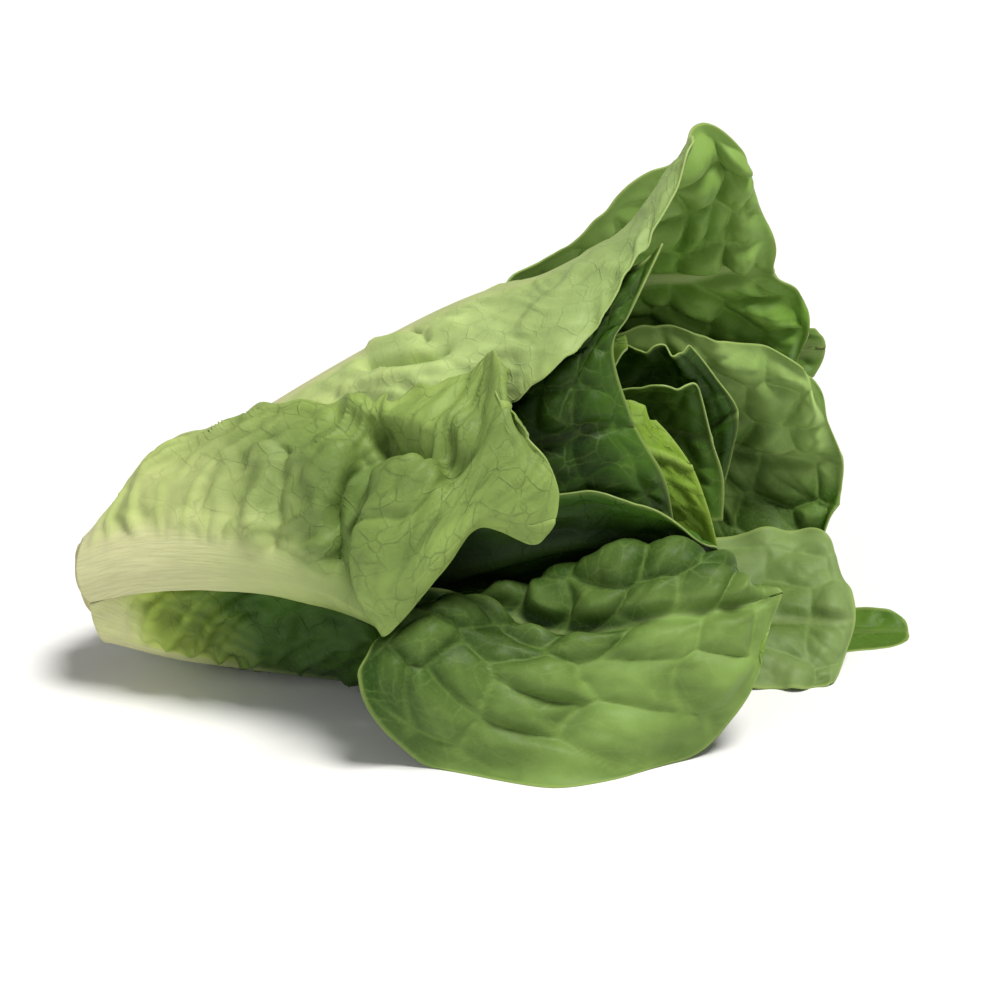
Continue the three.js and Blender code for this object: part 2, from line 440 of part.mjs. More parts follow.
const head = new THREE.Group();
for (const leaf of LEAVES) {
  const geometry = leaf.small ? leafGeometry(leaf, 20, 6) : leafGeometry(leaf);
  const skin = new THREE.MeshStandardMaterial({ color: leaf.color, roughness: 0.6 });
  const mesh = new THREE.Mesh(geometry, skin);
  mesh.name = leaf.name;
  head.add(mesh);
}
const flesh = new THREE.MeshStandardMaterial({ color: 0xd9d7a6, roughness: 0.7 });
const stem = new THREE.Mesh(stemGeometry(), flesh);
stem.name = 'stem_core';
head.add(stem);

// The origin is the middle of the bounding box's underside
const bounds = new THREE.Box3().setFromObject(head);
const middle = bounds.getCenter(new THREE.Vector3());
head.children.forEach((mesh) => mesh.geometry.translate(-middle.x, -middle.y, -bounds.min.z));

export default head;
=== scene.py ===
# A romaine lettuce head lying on its side, dressed over its solid model.
# Shapes are worked out in millimetres and handed to Blender in metres.
import math
from dataclasses import dataclass

import bpy
import numpy as np
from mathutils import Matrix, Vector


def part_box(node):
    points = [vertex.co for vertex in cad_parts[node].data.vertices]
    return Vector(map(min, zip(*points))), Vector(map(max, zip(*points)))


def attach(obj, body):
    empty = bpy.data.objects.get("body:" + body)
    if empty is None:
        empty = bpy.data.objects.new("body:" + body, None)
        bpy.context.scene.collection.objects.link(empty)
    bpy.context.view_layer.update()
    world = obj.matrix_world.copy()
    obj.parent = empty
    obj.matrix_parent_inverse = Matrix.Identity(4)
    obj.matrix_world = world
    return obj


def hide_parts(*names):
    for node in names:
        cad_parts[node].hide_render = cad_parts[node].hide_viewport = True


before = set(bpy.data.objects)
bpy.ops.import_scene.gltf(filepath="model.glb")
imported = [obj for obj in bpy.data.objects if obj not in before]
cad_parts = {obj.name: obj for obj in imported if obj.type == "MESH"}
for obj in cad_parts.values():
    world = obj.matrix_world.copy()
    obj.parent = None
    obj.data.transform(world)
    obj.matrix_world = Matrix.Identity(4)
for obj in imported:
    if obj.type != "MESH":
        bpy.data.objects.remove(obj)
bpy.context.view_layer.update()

MM = 0.001

# The closed head is a cone that widens from the cut end to the open end.
BUTT_X = -124
MOUTH_X = 63
BUTT_RADIUS = 18
MOUTH_RADIUS = 80
SWELL = 0.8
BUTT_HEIGHT = 31
AXIS_RISE = 0.283
TILT = math.atan(AXIS_RISE)

# Leaf blade and the ground under the lowest leaves
BLADE = 0.8
GROUND_SOFTNESS = 1.2

# Cut stem: widest radius, then radius and height along the axis from the cut face to the hidden tip
STEM_RADIUS = 12.8
STEM_PROFILE = [
    (0, -4.4), (6, -4.8), (10, -4.5), (12.2, -3.2), (12.8, -1), (12.4, 2), (11.5, 5), (10.4, 10), (9.6, 18),
    (8.2, 30), (5.8, 48), (3.4, 66), (1.5, 80), (0, 84),
]


def mix(a, b, share):
    return a + (b - a) * share


def smooth(low, high, value):
    share = np.clip((value - low) / (high - low), 0, 1)
    return share * share * (3 - 2 * share)


def head_radius(x):
    share = np.maximum(0, (x - BUTT_X) / (MOUTH_X - BUTT_X))
    return BUTT_RADIUS + (MOUTH_RADIUS - BUTT_RADIUS) * share**SWELL


def axis_height(x):
    return BUTT_HEIGHT + AXIS_RISE * (x - BUTT_X)


def place(nodes):
    """Places of nodes: x, angle (front 0, up 90) and reach, a share of the head's radius."""
    x, angle, reach = np.moveaxis(np.asarray(nodes, float), -1, 0)
    radius = reach * head_radius(x)
    turn = np.radians(angle)
    return np.stack([x, -radius * np.cos(turn), axis_height(x) + radius * np.sin(turn)], axis=-1)


def collar(x, angle, low, high, reach, columns=5):
    """A row of nodes round the closed head, from `low` degrees before `angle` to `high` after it."""
    return [(x, angle - low + (low + high) * i / (columns - 1), reach) for i in range(columns)]


def ring(x, *nodes):
    """A row of nodes that share one x."""
    return [(x, angle, reach) for angle, reach in nodes]


@dataclass
class Leaf:
    """One leaf: rows of nodes from base to tip, each row across the blade at rising angles."""
    name: str
    rows: list
    rib_width: tuple
    rib_height: tuple
    ruffle: float
    rib_column: int = 2
    waves: int = 5
    ridges: float = 0
    heel: float = 0


LEAVES = [
    Leaf("leaf_front_outer", rib_width=(13, 5), rib_height=(3.5, 0.8), ruffle=1.5, rib_column=1,
         ridges=0.7, heel=0.9, rows=[
        [(-123, 2, 0.91), (-126, 20, 0.92), (-127, 37, 0.92), (-127, 52, 0.91), (-127, 67, 0.89),
            (-127, 80, 0.88), (-125, 92, 0.89)],
        [(-110, 5, 0.93), (-111, 22, 0.99), (-112, 39, 1.01), (-113, 57, 1.05), (-114, 74, 1.1),
            (-114, 90, 1.13), (-114, 104, 1.12)],
        [(-98, 4, 0.91), (-98, 18, 0.98), (-98, 36, 1.02), (-99, 55, 1.08), (-100, 74, 1.16),
            (-101, 92, 1.23), (-101, 108, 1.25)],
        [(-84, 0, 0.9), (-84, 13, 0.98), (-84, 32, 1.02), (-84, 53, 1.05), (-85, 73, 1.08),
            (-86, 91, 1.11), (-86, 108, 1.1)],
        [(-67, -6, 0.91), (-67, 6, 0.99), (-66, 22, 1.03), (-66, 39, 1.05), (-66, 56, 1.05),
            (-67, 73, 1.05), (-68, 89, 1.05)],
        [(-48, -15, 0.93), (-48, -4, 1.01), (-48, 10, 1.05), (-48, 23, 1.08), (-47, 37, 1.09),
            (-46, 52, 1.04), (-46, 66, 1)],
        [(-35, -22, 0.97), (-36, -12, 1.04), (-38, 0, 1.01), (-38, 12, 1.02), (-36, 24, 0.98),
            (-33, 40, 0.9), (-35, 60, 0.98)],
        [(-31, -14, 1.25), (-37, 1, 1.27), (-40, 12, 1.28), (-38, 21, 1.28), (-31, 28, 1.19),
            (-27, 39, 0.94), (-28, 57, 0.99)],
        [(-25, -9, 1.24), (-26, 0, 1.27), (-26, 10, 1.29), (-24, 19, 1.28), (-21, 28, 1.22),
            (-17, 37, 0.99), (-17, 56, 1)],
        [(-14, 1, 1.15), (-14, 6, 1.19), (-14, 11, 1.2), (-12, 17, 1.19), (-10, 23, 1.13), (-7, 34, 1.03),
            (-6, 55, 1.02)],
        [(-3, 9, 1.02), (-2, 12, 1.06), (-1, 16, 1.07), (0, 20, 1.07), (2, 26, 1.06), (2, 37, 1.04),
            (3, 54, 1.03)],
        [(12, 0, 0.95), (12, 6, 0.97), (13, 10, 0.98), (14, 15, 0.98), (13, 21, 0.98), (9, 30, 1),
            (2, 42, 1.02)],
        [(17, 2, 0.92), (19, 5, 0.92), (20, 9, 0.92), (20, 13, 0.93), (18, 19, 0.94), (14, 25, 0.97),
            (7, 34, 1)],
    ]),
    Leaf("leaf_top_outer", rib_width=(11, 2), rib_height=(2.4, 0.4), ruffle=1.2, rib_column=3, waves=6,
         ridges=0.4, heel=1.4, rows=[
        [(-116, 70, 0.79), (-117, 84, 0.81), (-118, 98, 0.82), (-118, 112, 0.82), (-117, 126, 0.81)],
        ring(-98, (54, 0.8), (78, 0.84), (100, 0.87), (114, 0.88), (136, 0.88)),
        ring(-76, (48, 0.87), (72, 0.9), (94, 0.92), (112, 0.93), (142, 0.92)),
        ring(-50, (51, 0.89), (71, 0.92), (88, 0.94), (108, 0.95), (140, 0.93)),
        ring(-24, (52, 0.9), (68, 0.92), (84, 0.94), (104, 0.95), (134, 0.93)),
        [(2, 42, 0.9), (-3, 60, 0.92), (-6, 80, 0.94), (-8, 98, 0.94), (-9, 116, 0.92)],
        [(13, 44, 0.93), (10, 59, 0.94), (8, 77, 0.93), (6, 92, 0.92), (4, 105, 0.91)],
        [(24, 49, 0.93), (22, 61, 0.95), (20, 78, 0.92), (19, 90, 0.89), (18, 99, 0.87)],
        [(38, 63, 0.96), (40, 72, 0.97), (40, 80, 0.96), (39, 87, 0.93), (38, 92, 0.91)],
        [(47, 73, 1), (49, 79, 1.03), (49, 84, 1.04), (49, 88, 1.03), (48, 91, 1.01)],
        [(59, 84, 1.13), (60, 86, 1.15), (60, 87.5, 1.16), (60, 89, 1.16), (59, 91, 1.14)],
    ]),
    Leaf("leaf_under", rib_width=(12, 3), rib_height=(3.5, 1), ruffle=1.2, ridges=0.7, heel=0.6, rows=[
        [(-117, -112, 0.83), (-119, -90, 0.84), (-121, -62, 0.85), (-123, -34, 0.85), (-125, -6, 0.84)],
        [(-97, -114, 0.93), (-98, -90, 0.96), (-99, -64, 0.95), (-100, -31, 0.93), (-101, 7, 0.835)],
        ring(-78, (-116, 1.08), (-95, 1.1), (-70, 0.99), (-36, 0.945), (6, 0.85)),
        ring(-55, (-118, 1.17), (-98, 1.12), (-73, 1.03), (-42, 0.96), (-3, 0.86)),
        ring(-30, (-120, 1.18), (-102, 1.11), (-80, 1.08), (-51, 0.98), (-30, 0.9)),
        ring(-8, (-116, 1.13), (-102, 1.09), (-84, 1.06), (-64, 1), (-50, 0.93)),
        ring(14, (-110, 1.03), (-98, 1.03), (-84, 1.02), (-70, 1), (-58, 0.96)),
        [(30, -100, 1.02), (32, -92, 1.02), (33, -84, 1.02), (32, -76, 1.01), (30, -68, 1)],
    ]),
    Leaf("leaf_back_outer", rib_width=(12, 3), rib_height=(3.5, 0.8), ruffle=2, waves=6, ridges=0.7,
         heel=1.4, rows=[
        [(-122, 144, 0.83), (-124, 160, 0.84), (-124, 178, 0.84), (-124, 196, 0.84), (-122, 214, 0.83)],
        [(-99, 138, 0.97), (-100, 157, 0.97), (-100, 179, 0.95), (-99, 202, 0.94), (-98, 226, 0.92)],
        ring(-78, (132, 1.03), (154, 1), (180, 0.97), (206, 0.96), (230, 0.94)),
        ring(-50, (134, 1.04), (155, 1), (180, 0.97), (206, 0.95), (231, 0.94)),
        ring(-20, (137, 1.02), (157, 0.98), (180, 0.97), (204, 0.96), (228, 0.94)),
        [(10, 143, 0.98), (12, 160, 0.98), (12, 180, 0.97), (12, 202, 0.97), (10, 222, 0.98)],
        [(40, 150, 0.93), (42, 164, 0.92), (42, 180, 0.92), (42, 200, 0.94), (38, 214, 1.08)],
        [(70, 168, 0.86), (70, 177, 0.87), (72, 187, 0.88), (70, 198, 0.9), (66, 206, 0.93)],
        [(94, 180, 0.85), (96, 184, 0.86), (97, 189, 0.87), (96, 194, 0.88), (92, 199, 0.88)],
        [(109, 187, 0.86), (112, 189, 0.87), (113, 192, 0.87), (112, 195, 0.87), (109, 198, 0.87)],
    ]),
    Leaf("leaf_trailing", rib_width=(11, 2), rib_height=(2, 0.5), ruffle=1, heel=0.5, rows=[
        [(-108, 214, 0.68), (-109, 232, 0.69), (-110, 249, 0.68), (-110, 266, 0.68), (-109, 284, 0.68)],
        [(-95, 206, 0.76), (-95, 228, 0.8), (-96, 249, 0.82), (-96, 270, 0.82), (-97, 290, 0.8)],
        ring(-70, (208, 0.8), (228, 0.86), (250, 0.92), (270, 0.9), (288, 0.86)),
        ring(-38, (212, 0.84), (230, 0.88), (250, 0.94), (268, 0.94), (284, 0.9)),
        ring(-5, (217, 0.86), (234, 0.89), (251, 0.94), (266, 0.95), (281, 0.93)),
        ring(30, (224, 0.95), (238, 0.95), (252, 0.97), (264, 0.99), (276, 0.98)),
        [(60, 234, 1.06), (62, 243, 1.04), (64, 254, 1.02), (64, 262, 1.03), (62, 269, 1.05)],
        [(84, 240, 1.09), (85, 246, 1.07), (86, 254, 1.06), (86, 261, 1.06), (84, 267, 1.07)],
        [(102, 246, 1.09), (102, 250, 1.08), (103, 255, 1.07), (102, 261, 1.08), (100, 266, 1.12)],
        [(119, 249, 1.08), (119, 252, 1.09), (119, 256, 1.1), (119, 260, 1.12), (117, 264, 1.14)],
        [(132, 251, 1.07), (134, 253.5, 1.08), (135, 256, 1.1), (134, 259, 1.12), (131, 262, 1.13)],
        [(137, 253.5, 1.07), (138, 255, 1.08), (138, 256, 1.09), (138, 258, 1.11), (137, 259, 1.12)],
    ]),
    Leaf("leaf_back_tall", rib_width=(9, 2), rib_height=(2, 0.8), ruffle=2.5, ridges=0.6, rows=[
        [(-107, 112, 0.58), (-107, 128, 0.6), (-107, 144, 0.61), (-106, 160, 0.62), (-106, 178, 0.62)],
        ring(-84, (96, 0.72), (118, 0.74), (140, 0.76), (166, 0.78), (190, 0.8)),
        ring(-50, (97, 0.78), (118, 0.79), (141, 0.8), (170, 0.81), (196, 0.82)),
        [(-14, 98, 0.8), (-13, 119, 0.81), (-12, 142, 0.81), (-10, 170, 0.81), (-8, 196, 0.82)],
        [(12, 108, 0.93), (18, 121, 0.87), (25, 144, 0.82), (35, 172, 0.8), (45, 195, 0.81)],
        [(34, 104, 0.98), (40, 118, 0.9), (48, 144, 0.78), (56, 176, 0.77), (70, 196, 0.79)],
        [(52, 104, 1.06), (59, 120, 0.9), (64, 150, 0.75), (72, 176, 0.75), (84, 202, 0.78)],
        [(64, 107, 1.12), (72, 123, 0.87), (76, 152, 0.74), (86, 174, 0.74), (97, 202, 0.76)],
        [(76, 114, 1), (82, 133, 0.78), (86, 156, 0.71), (97, 171, 0.7), (104, 187, 0.7)],
        [(86, 131, 0.81), (92, 147, 0.7), (92, 157, 0.67), (100, 166, 0.67), (104, 175, 0.68)],
    ]),
    Leaf("leaf_front_spread", rib_width=(8, 2), rib_height=(2, 0.8), ruffle=1.2, ridges=0.8, rows=[
        ring(-112, (-48, 0.62), (-32, 0.66), (-14, 0.68), (4, 0.68), (22, 0.66)),
        ring(-84, (-46, 0.68), (-30, 0.72), (-15, 0.74), (4, 0.75), (24, 0.75)),
        ring(-52, (-46, 0.74), (-32, 0.77), (-18, 0.78), (-4, 0.78), (10, 0.77)),
        ring(-24, (-40, 0.86), (-34, 0.84), (-28, 0.81), (-22, 0.78), (-16, 0.76)),
        [(-33, -17, 1.23), (-16, -15, 0.98), (0, -33, 0.78), (6, -39, 0.67), (8, -58, 0.64)],
        [(-38, -22, 1.52), (-15, -22, 1.17), (17, -37, 0.87), (21, -31, 0.64), (28, -66, 0.66)],
        [(-18, -41.5, 1.6), (3, -34, 1.28), (34, -35, 0.9), (39, -25, 0.62), (47, -70, 0.64)],
        [(21, -41.5, 1.6), (30, -41, 1.22), (49, -34, 0.87), (56, -29, 0.61), (62, -68, 0.65)],
        [(57, -52.5, 1.33), (55, -42, 1.1), (64, -36, 0.84), (68, -33, 0.67), (72, -55, 0.65)],
        [(76, -50, 1.12), (74, -44, 0.98), (76, -39, 0.8), (76, -40, 0.71), (77, -46, 0.67)],
        [(82, -46, 0.92), (84, -45, 0.83), (87, -42, 0.75), (84, -42, 0.73), (81, -43, 0.71)],
    ]),
    Leaf("leaf_back_low", rib_width=(9, 2), rib_height=(2, 0.6), ruffle=1.6, rows=[
        ring(-102, (232, 0.56), (247, 0.58), (262, 0.58), (280, 0.58), (298, 0.56)),
        ring(-76, (222, 0.66), (242, 0.7), (262, 0.76), (284, 0.76), (302, 0.74)),
        ring(-38, (228, 0.74), (246, 0.78), (264, 0.82), (282, 0.83), (298, 0.8)),
        [(0, 234, 0.78), (3, 249, 0.82), (5, 264, 0.85), (5, 280, 0.86), (3, 294, 0.84)],
        [(42, 236, 0.82), (45, 249, 0.86), (48, 264, 0.88), (48, 276, 0.92), (46, 287, 0.96)],
        [(79, 236, 0.85), (82, 250, 0.87), (84, 264, 0.9), (84, 274, 0.97), (84, 281, 1.06)],
        [(96, 236, 0.85), (98, 250, 0.86), (100, 264, 0.92), (98, 274, 1), (96, 281, 1.07)],
        [(109, 239, 0.84), (110, 253, 0.86), (112, 266, 0.92), (108, 273, 1.02), (104, 279, 1.08)],
        [(116, 250, 0.88), (118, 257, 0.89), (118, 264, 0.93), (114, 270, 1.01), (109, 277, 1.07)],
    ]),
    Leaf("leaf_front_upper", rib_width=(7, 2), rib_height=(1.6, 0.6), ruffle=2, waves=6, rows=[
        collar(-104, 50, 36, 38, 0.52, 6),
        ring(-76, (6, 0.57), (24, 0.61), (42, 0.64), (60, 0.66), (78, 0.67), (94, 0.68)),
        ring(-42, (-4, 0.58), (16, 0.62), (37, 0.67), (58, 0.7), (76, 0.71), (94, 0.72)),
        [(0, -16, 0.54), (-2, 10, 0.6), (-4, 34, 0.67), (-6, 56, 0.73), (-8, 76, 0.76), (-10, 92, 0.78)],
        [(33, -32, 0.49), (25, 4, 0.55), (21, 28, 0.65), (18, 42, 0.75), (22, 57, 0.81), (29, 71, 0.83)],
        [(46, -38, 0.45), (37, 3, 0.51), (31, 30, 0.61), (26, 47, 0.76), (32, 59, 0.8), (41, 71, 0.86)],
        [(56, -44, 0.42), (52, -5, 0.4), (43, 27, 0.48), (36, 52, 0.72), (41, 62, 0.76), (51, 76, 0.88)],
    ]),
    Leaf("leaf_back_middle", rib_width=(8, 2), rib_height=(2, 0.6), ruffle=2, rows=[
        [(-104, 174, 0.52), (-104, 186, 0.52), (-104, 198, 0.52), (-103, 210, 0.51), (-103, 222, 0.5)],
        ring(-80, (158, 0.62), (180, 0.64), (202, 0.64), (216, 0.61), (230, 0.57)),
        ring(-45, (154, 0.66), (178, 0.69), (202, 0.7), (218, 0.69), (232, 0.66)),
        [(-5, 152, 0.66), (0, 176, 0.69), (5, 202, 0.71), (10, 216, 0.73), (15, 226, 0.76)],
        [(20, 150, 0.64), (24, 177, 0.68), (27, 200, 0.73), (34, 215, 0.83), (38, 226, 0.92)],
        [(45, 150, 0.6), (49, 178, 0.64), (50, 197, 0.74), (61, 214, 0.96), (64, 230, 1.08)],
        [(68, 164, 0.57), (76, 192, 0.65), (79, 210, 0.86), (82, 222, 1), (82, 234, 1.09)],
        [(86, 178, 0.56), (94, 202, 0.66), (96, 215, 0.88), (98, 225, 1), (98, 236, 1.06)],
        [(102, 190, 0.57), (106, 206, 0.67), (110, 218, 0.85), (111, 228, 0.95), (111, 236, 0.97)],
        [(107, 203, 0.61), (113, 213, 0.73), (118, 221, 0.82), (118, 226, 0.87), (117, 230, 0.9)],
    ]),
    Leaf("leaf_front_inner", rib_width=(6, 1.5), rib_height=(1.4, 0.5), ruffle=1, rows=[
        ring(-100, (-66, 0.48), (-52, 0.5), (-38, 0.5), (-24, 0.5), (-10, 0.48)),
        ring(-70, (-76, 0.56), (-58, 0.6), (-40, 0.62), (-22, 0.63), (-4, 0.63)),
        ring(-36, (-74, 0.58), (-54, 0.61), (-32, 0.64), (-10, 0.66), (12, 0.68)),
        [(-5, -66, 0.57), (-4, -45, 0.58), (-3, -22, 0.61), (-3, -2, 0.64), (-3, 16, 0.67)],
        ring(21, (-62, 0.55), (-40, 0.55), (-20, 0.57), (-5, 0.6), (7, 0.63)),
        ring(36, (-66, 0.54), (-46, 0.53), (-26, 0.54), (-10, 0.57), (1, 0.6)),
        [(52, -72, 0.54), (53, -55, 0.52), (53, -38, 0.51), (52, -24, 0.53), (51, -14, 0.57)],
        [(63, -77, 0.54), (65, -66, 0.53), (66, -55, 0.52), (66, -45, 0.52), (65, -37, 0.54)],
        [(68, -77, 0.54), (70, -72, 0.53), (71, -66, 0.53), (71, -61, 0.53), (70, -57, 0.53)],
    ]),
    Leaf("leaf_heart_back", rib_width=(6, 1.5), rib_height=(1.2, 0.4), ruffle=1.4, rows=[
        collar(-96, 206, 40, 40, 0.42),
        collar(-62, 205, 44, 42, 0.52),
        collar(-22, 202, 44, 38, 0.56),
        ring(15, (152, 0.54), (172, 0.55), (198, 0.58), (216, 0.61), (230, 0.64)),
        [(47, 144, 0.46), (48, 166, 0.49), (49, 196, 0.55), (49, 217, 0.62), (49, 234, 0.7)],
        [(56, 144, 0.38), (63, 177, 0.43), (65, 204, 0.53), (66, 222, 0.64), (66, 234, 0.72)],
        [(62, 149, 0.34), (72, 183, 0.38), (80, 204, 0.46), (79, 218, 0.57), (76, 228, 0.65)],
    ]),
    Leaf("leaf_heart_front", rib_width=(6, 1.5), rib_height=(1.2, 0.4), ruffle=1, rows=[
        collar(-94, 18, 44, 44, 0.38),
        collar(-60, 18, 50, 48, 0.44),
        collar(-26, 16, 50, 48, 0.45),
        [(10, -44, 0.44), (8, -14, 0.43), (6, 16, 0.42), (5, 42, 0.41), (5, 66, 0.41)],
        [(32, -54, 0.43), (26, -18, 0.38), (22, 20, 0.35), (22, 47, 0.34), (24, 68, 0.34)],
        [(46, -61, 0.42), (38, -20, 0.31), (34, 22, 0.28), (34, 50, 0.29), (37, 69, 0.28)],
        [(62, -70, 0.44), (55, -42, 0.28), (50, -4, 0.19), (46, 34, 0.18), (46, 68, 0.18)],
        [(71, -74, 0.5), (67, -60, 0.34), (62, -38, 0.2), (56, 0, 0.12), (51, 50, 0.1)],
    ]),
    Leaf("leaf_heart_top", rib_width=(6, 1.5), rib_height=(1.2, 0.4), ruffle=1, rows=[
        collar(-92, 84, 40, 40, 0.44),
        collar(-56, 84, 42, 44, 0.54),
        collar(-16, 84, 40, 42, 0.56),
        collar(14, 84, 34, 38, 0.5),
        collar(30, 86, 26, 30, 0.46),
        collar(42, 90, 12, 15, 0.43),
    ]),
    Leaf("leaf_heart_low", rib_width=(6, 1.5), rib_height=(1.2, 0.4), ruffle=1, rows=[
        collar(-92, 290, 40, 36, 0.34),
        collar(-56, 290, 44, 40, 0.41),
        collar(-20, 289, 42, 38, 0.42),
        collar(12, 287, 38, 32, 0.4),
        collar(34, 285, 26, 22, 0.37),
        collar(46, 284, 12, 10, 0.36),
    ]),
    Leaf("leaf_inner_curl", rib_width=(5, 1.5), rib_height=(1, 0.4), ruffle=0.8, rows=[
        collar(-88, 190, 44, 44, 0.3),
        collar(-52, 190, 48, 46, 0.38),
        collar(-12, 188, 48, 46, 0.4),
        [(24, 120, 0.26), (24, 150, 0.28), (25, 190, 0.34), (26, 226, 0.42), (27, 250, 0.48)],
        [(50, 108, 0.2), (50, 143, 0.21), (50, 194, 0.26), (52, 231, 0.38), (56, 252, 0.52)],
        [(64, 116, 0.12), (66, 165, 0.13), (70, 224, 0.24), (74, 243, 0.37), (74, 256, 0.5)],
    ]),
    Leaf("leaf_centre_upper", rib_width=(5, 1.5), rib_height=(0.8, 0.3), ruffle=0.8, rows=[
        collar(-82, 60, 66, 66, 0.24),
        collar(-48, 60, 72, 72, 0.28),
        collar(-14, 60, 70, 70, 0.28),
        collar(14, 60, 56, 56, 0.22),
        collar(30, 60, 30, 30, 0.18),
    ]),
    Leaf("leaf_centre_lower", rib_width=(5, 1.5), rib_height=(0.8, 0.3), ruffle=0.8, rows=[
        collar(-74, 240, 66, 66, 0.16),
        collar(-42, 240, 72, 72, 0.18),
        collar(-12, 240, 70, 70, 0.17),
        collar(10, 240, 56, 56, 0.13),
        collar(24, 240, 30, 30, 0.1),
    ]),
]


@dataclass
class Look:
    """How a leaf's surface is worked. Pairs run from base to tip; lengths are in millimetres."""
    slot: str
    grid: tuple = (170, 110)
    vein_gap: tuple = (8, 11)
    vein_slope: tuple = (0.4, 1)
    cell: tuple = (16, 12)
    puff: tuple = (0.9, 1.6)
    roundness: tuple = (0.4, 0.8)
    wrinkle: tuple = (0.4, 0.4)
    crinkle: float = 0.2
    lift: float = 0
    rib_sink: float = 0.8
    pale_rib: tuple = (5, 1.4)
    rib_fade: tuple = (0.8, 0.15)
    fade_span: tuple = (0.1, 0.9)
    stalk: float = 60
    pale_base: float = 13
    frill: tuple = (0.8, 0.8)
    ragged: tuple = (0.6, 0.6)
    smooth_margin: float = 5
    # The next pair gives the distances in millimetres from the margin over which the blade darkens into
    # painted shade; dark_side, dark_base and dark_until add painted shade over one half and towards the
    # base, and light_end lightens it towards the tip.
    depth: tuple = (2, 24)
    flipped: bool = False
    dark_side: int = 0
    dark_base: float = 0
    dark_until: tuple = (0.62, 0.3)
    light_end: float = 0
    folds: tuple = ()
    outer: str = "#5d7d28"
    outer_light: str = "#6f9036"
    inner: str = "#33500f"
    inner_light: str = "#5c7a33"
    young: str = "#97a550"
    inner_young: str = "#728a35"


# Folds in the two outer leaves seen from the front. Each is a line of places along the rib and across
# from it, then its half width and how far it stands out, all in millimetres.
FRONT_FOLDS = (
    (((52, 34), (50, 20), (51, 10)), 2.6, 1.6),
    (((66, 38), (63, 22), (64, 9)), 3.4, 2.6),
    (((72, 38), (69, 22), (70, 9)), 2.2, -2.6),
    (((88, 46), (84, 28), (85, 11)), 3.8, 3),
    (((96, 44), (91, 27), (92, 12)), 2.4, -3),
    (((96, 62), (118, 64), (134, 57), (148, 37)), 4.6, 4.2),
    (((104, 52), (125, 49), (139, 41), (148, 26)), 3, -5.5),
    (((112, 40), (128, 38), (138, 30)), 5, 2),
    (((116, 24), (130, 22)), 2.6, -1.8),
    (((128, 12), (142, 16)), 5, 2),
)
TOP_FOLDS = (
    (((96, -16), (108, -25), (120, -29)), 2.6, -5),
    (((101, -8), (112, -16), (126, -20)), 3.4, 3),
    (((92, -24), (104, -33), (120, -37)), 3, 2.6),
    (((112, -8), (118, -20)), 1.8, -2.5),
    (((150, 6), (176, 4), (204, 1)), 2, -1.6),
    (((150, -30), (170, -16)), 4, 1.6),
)

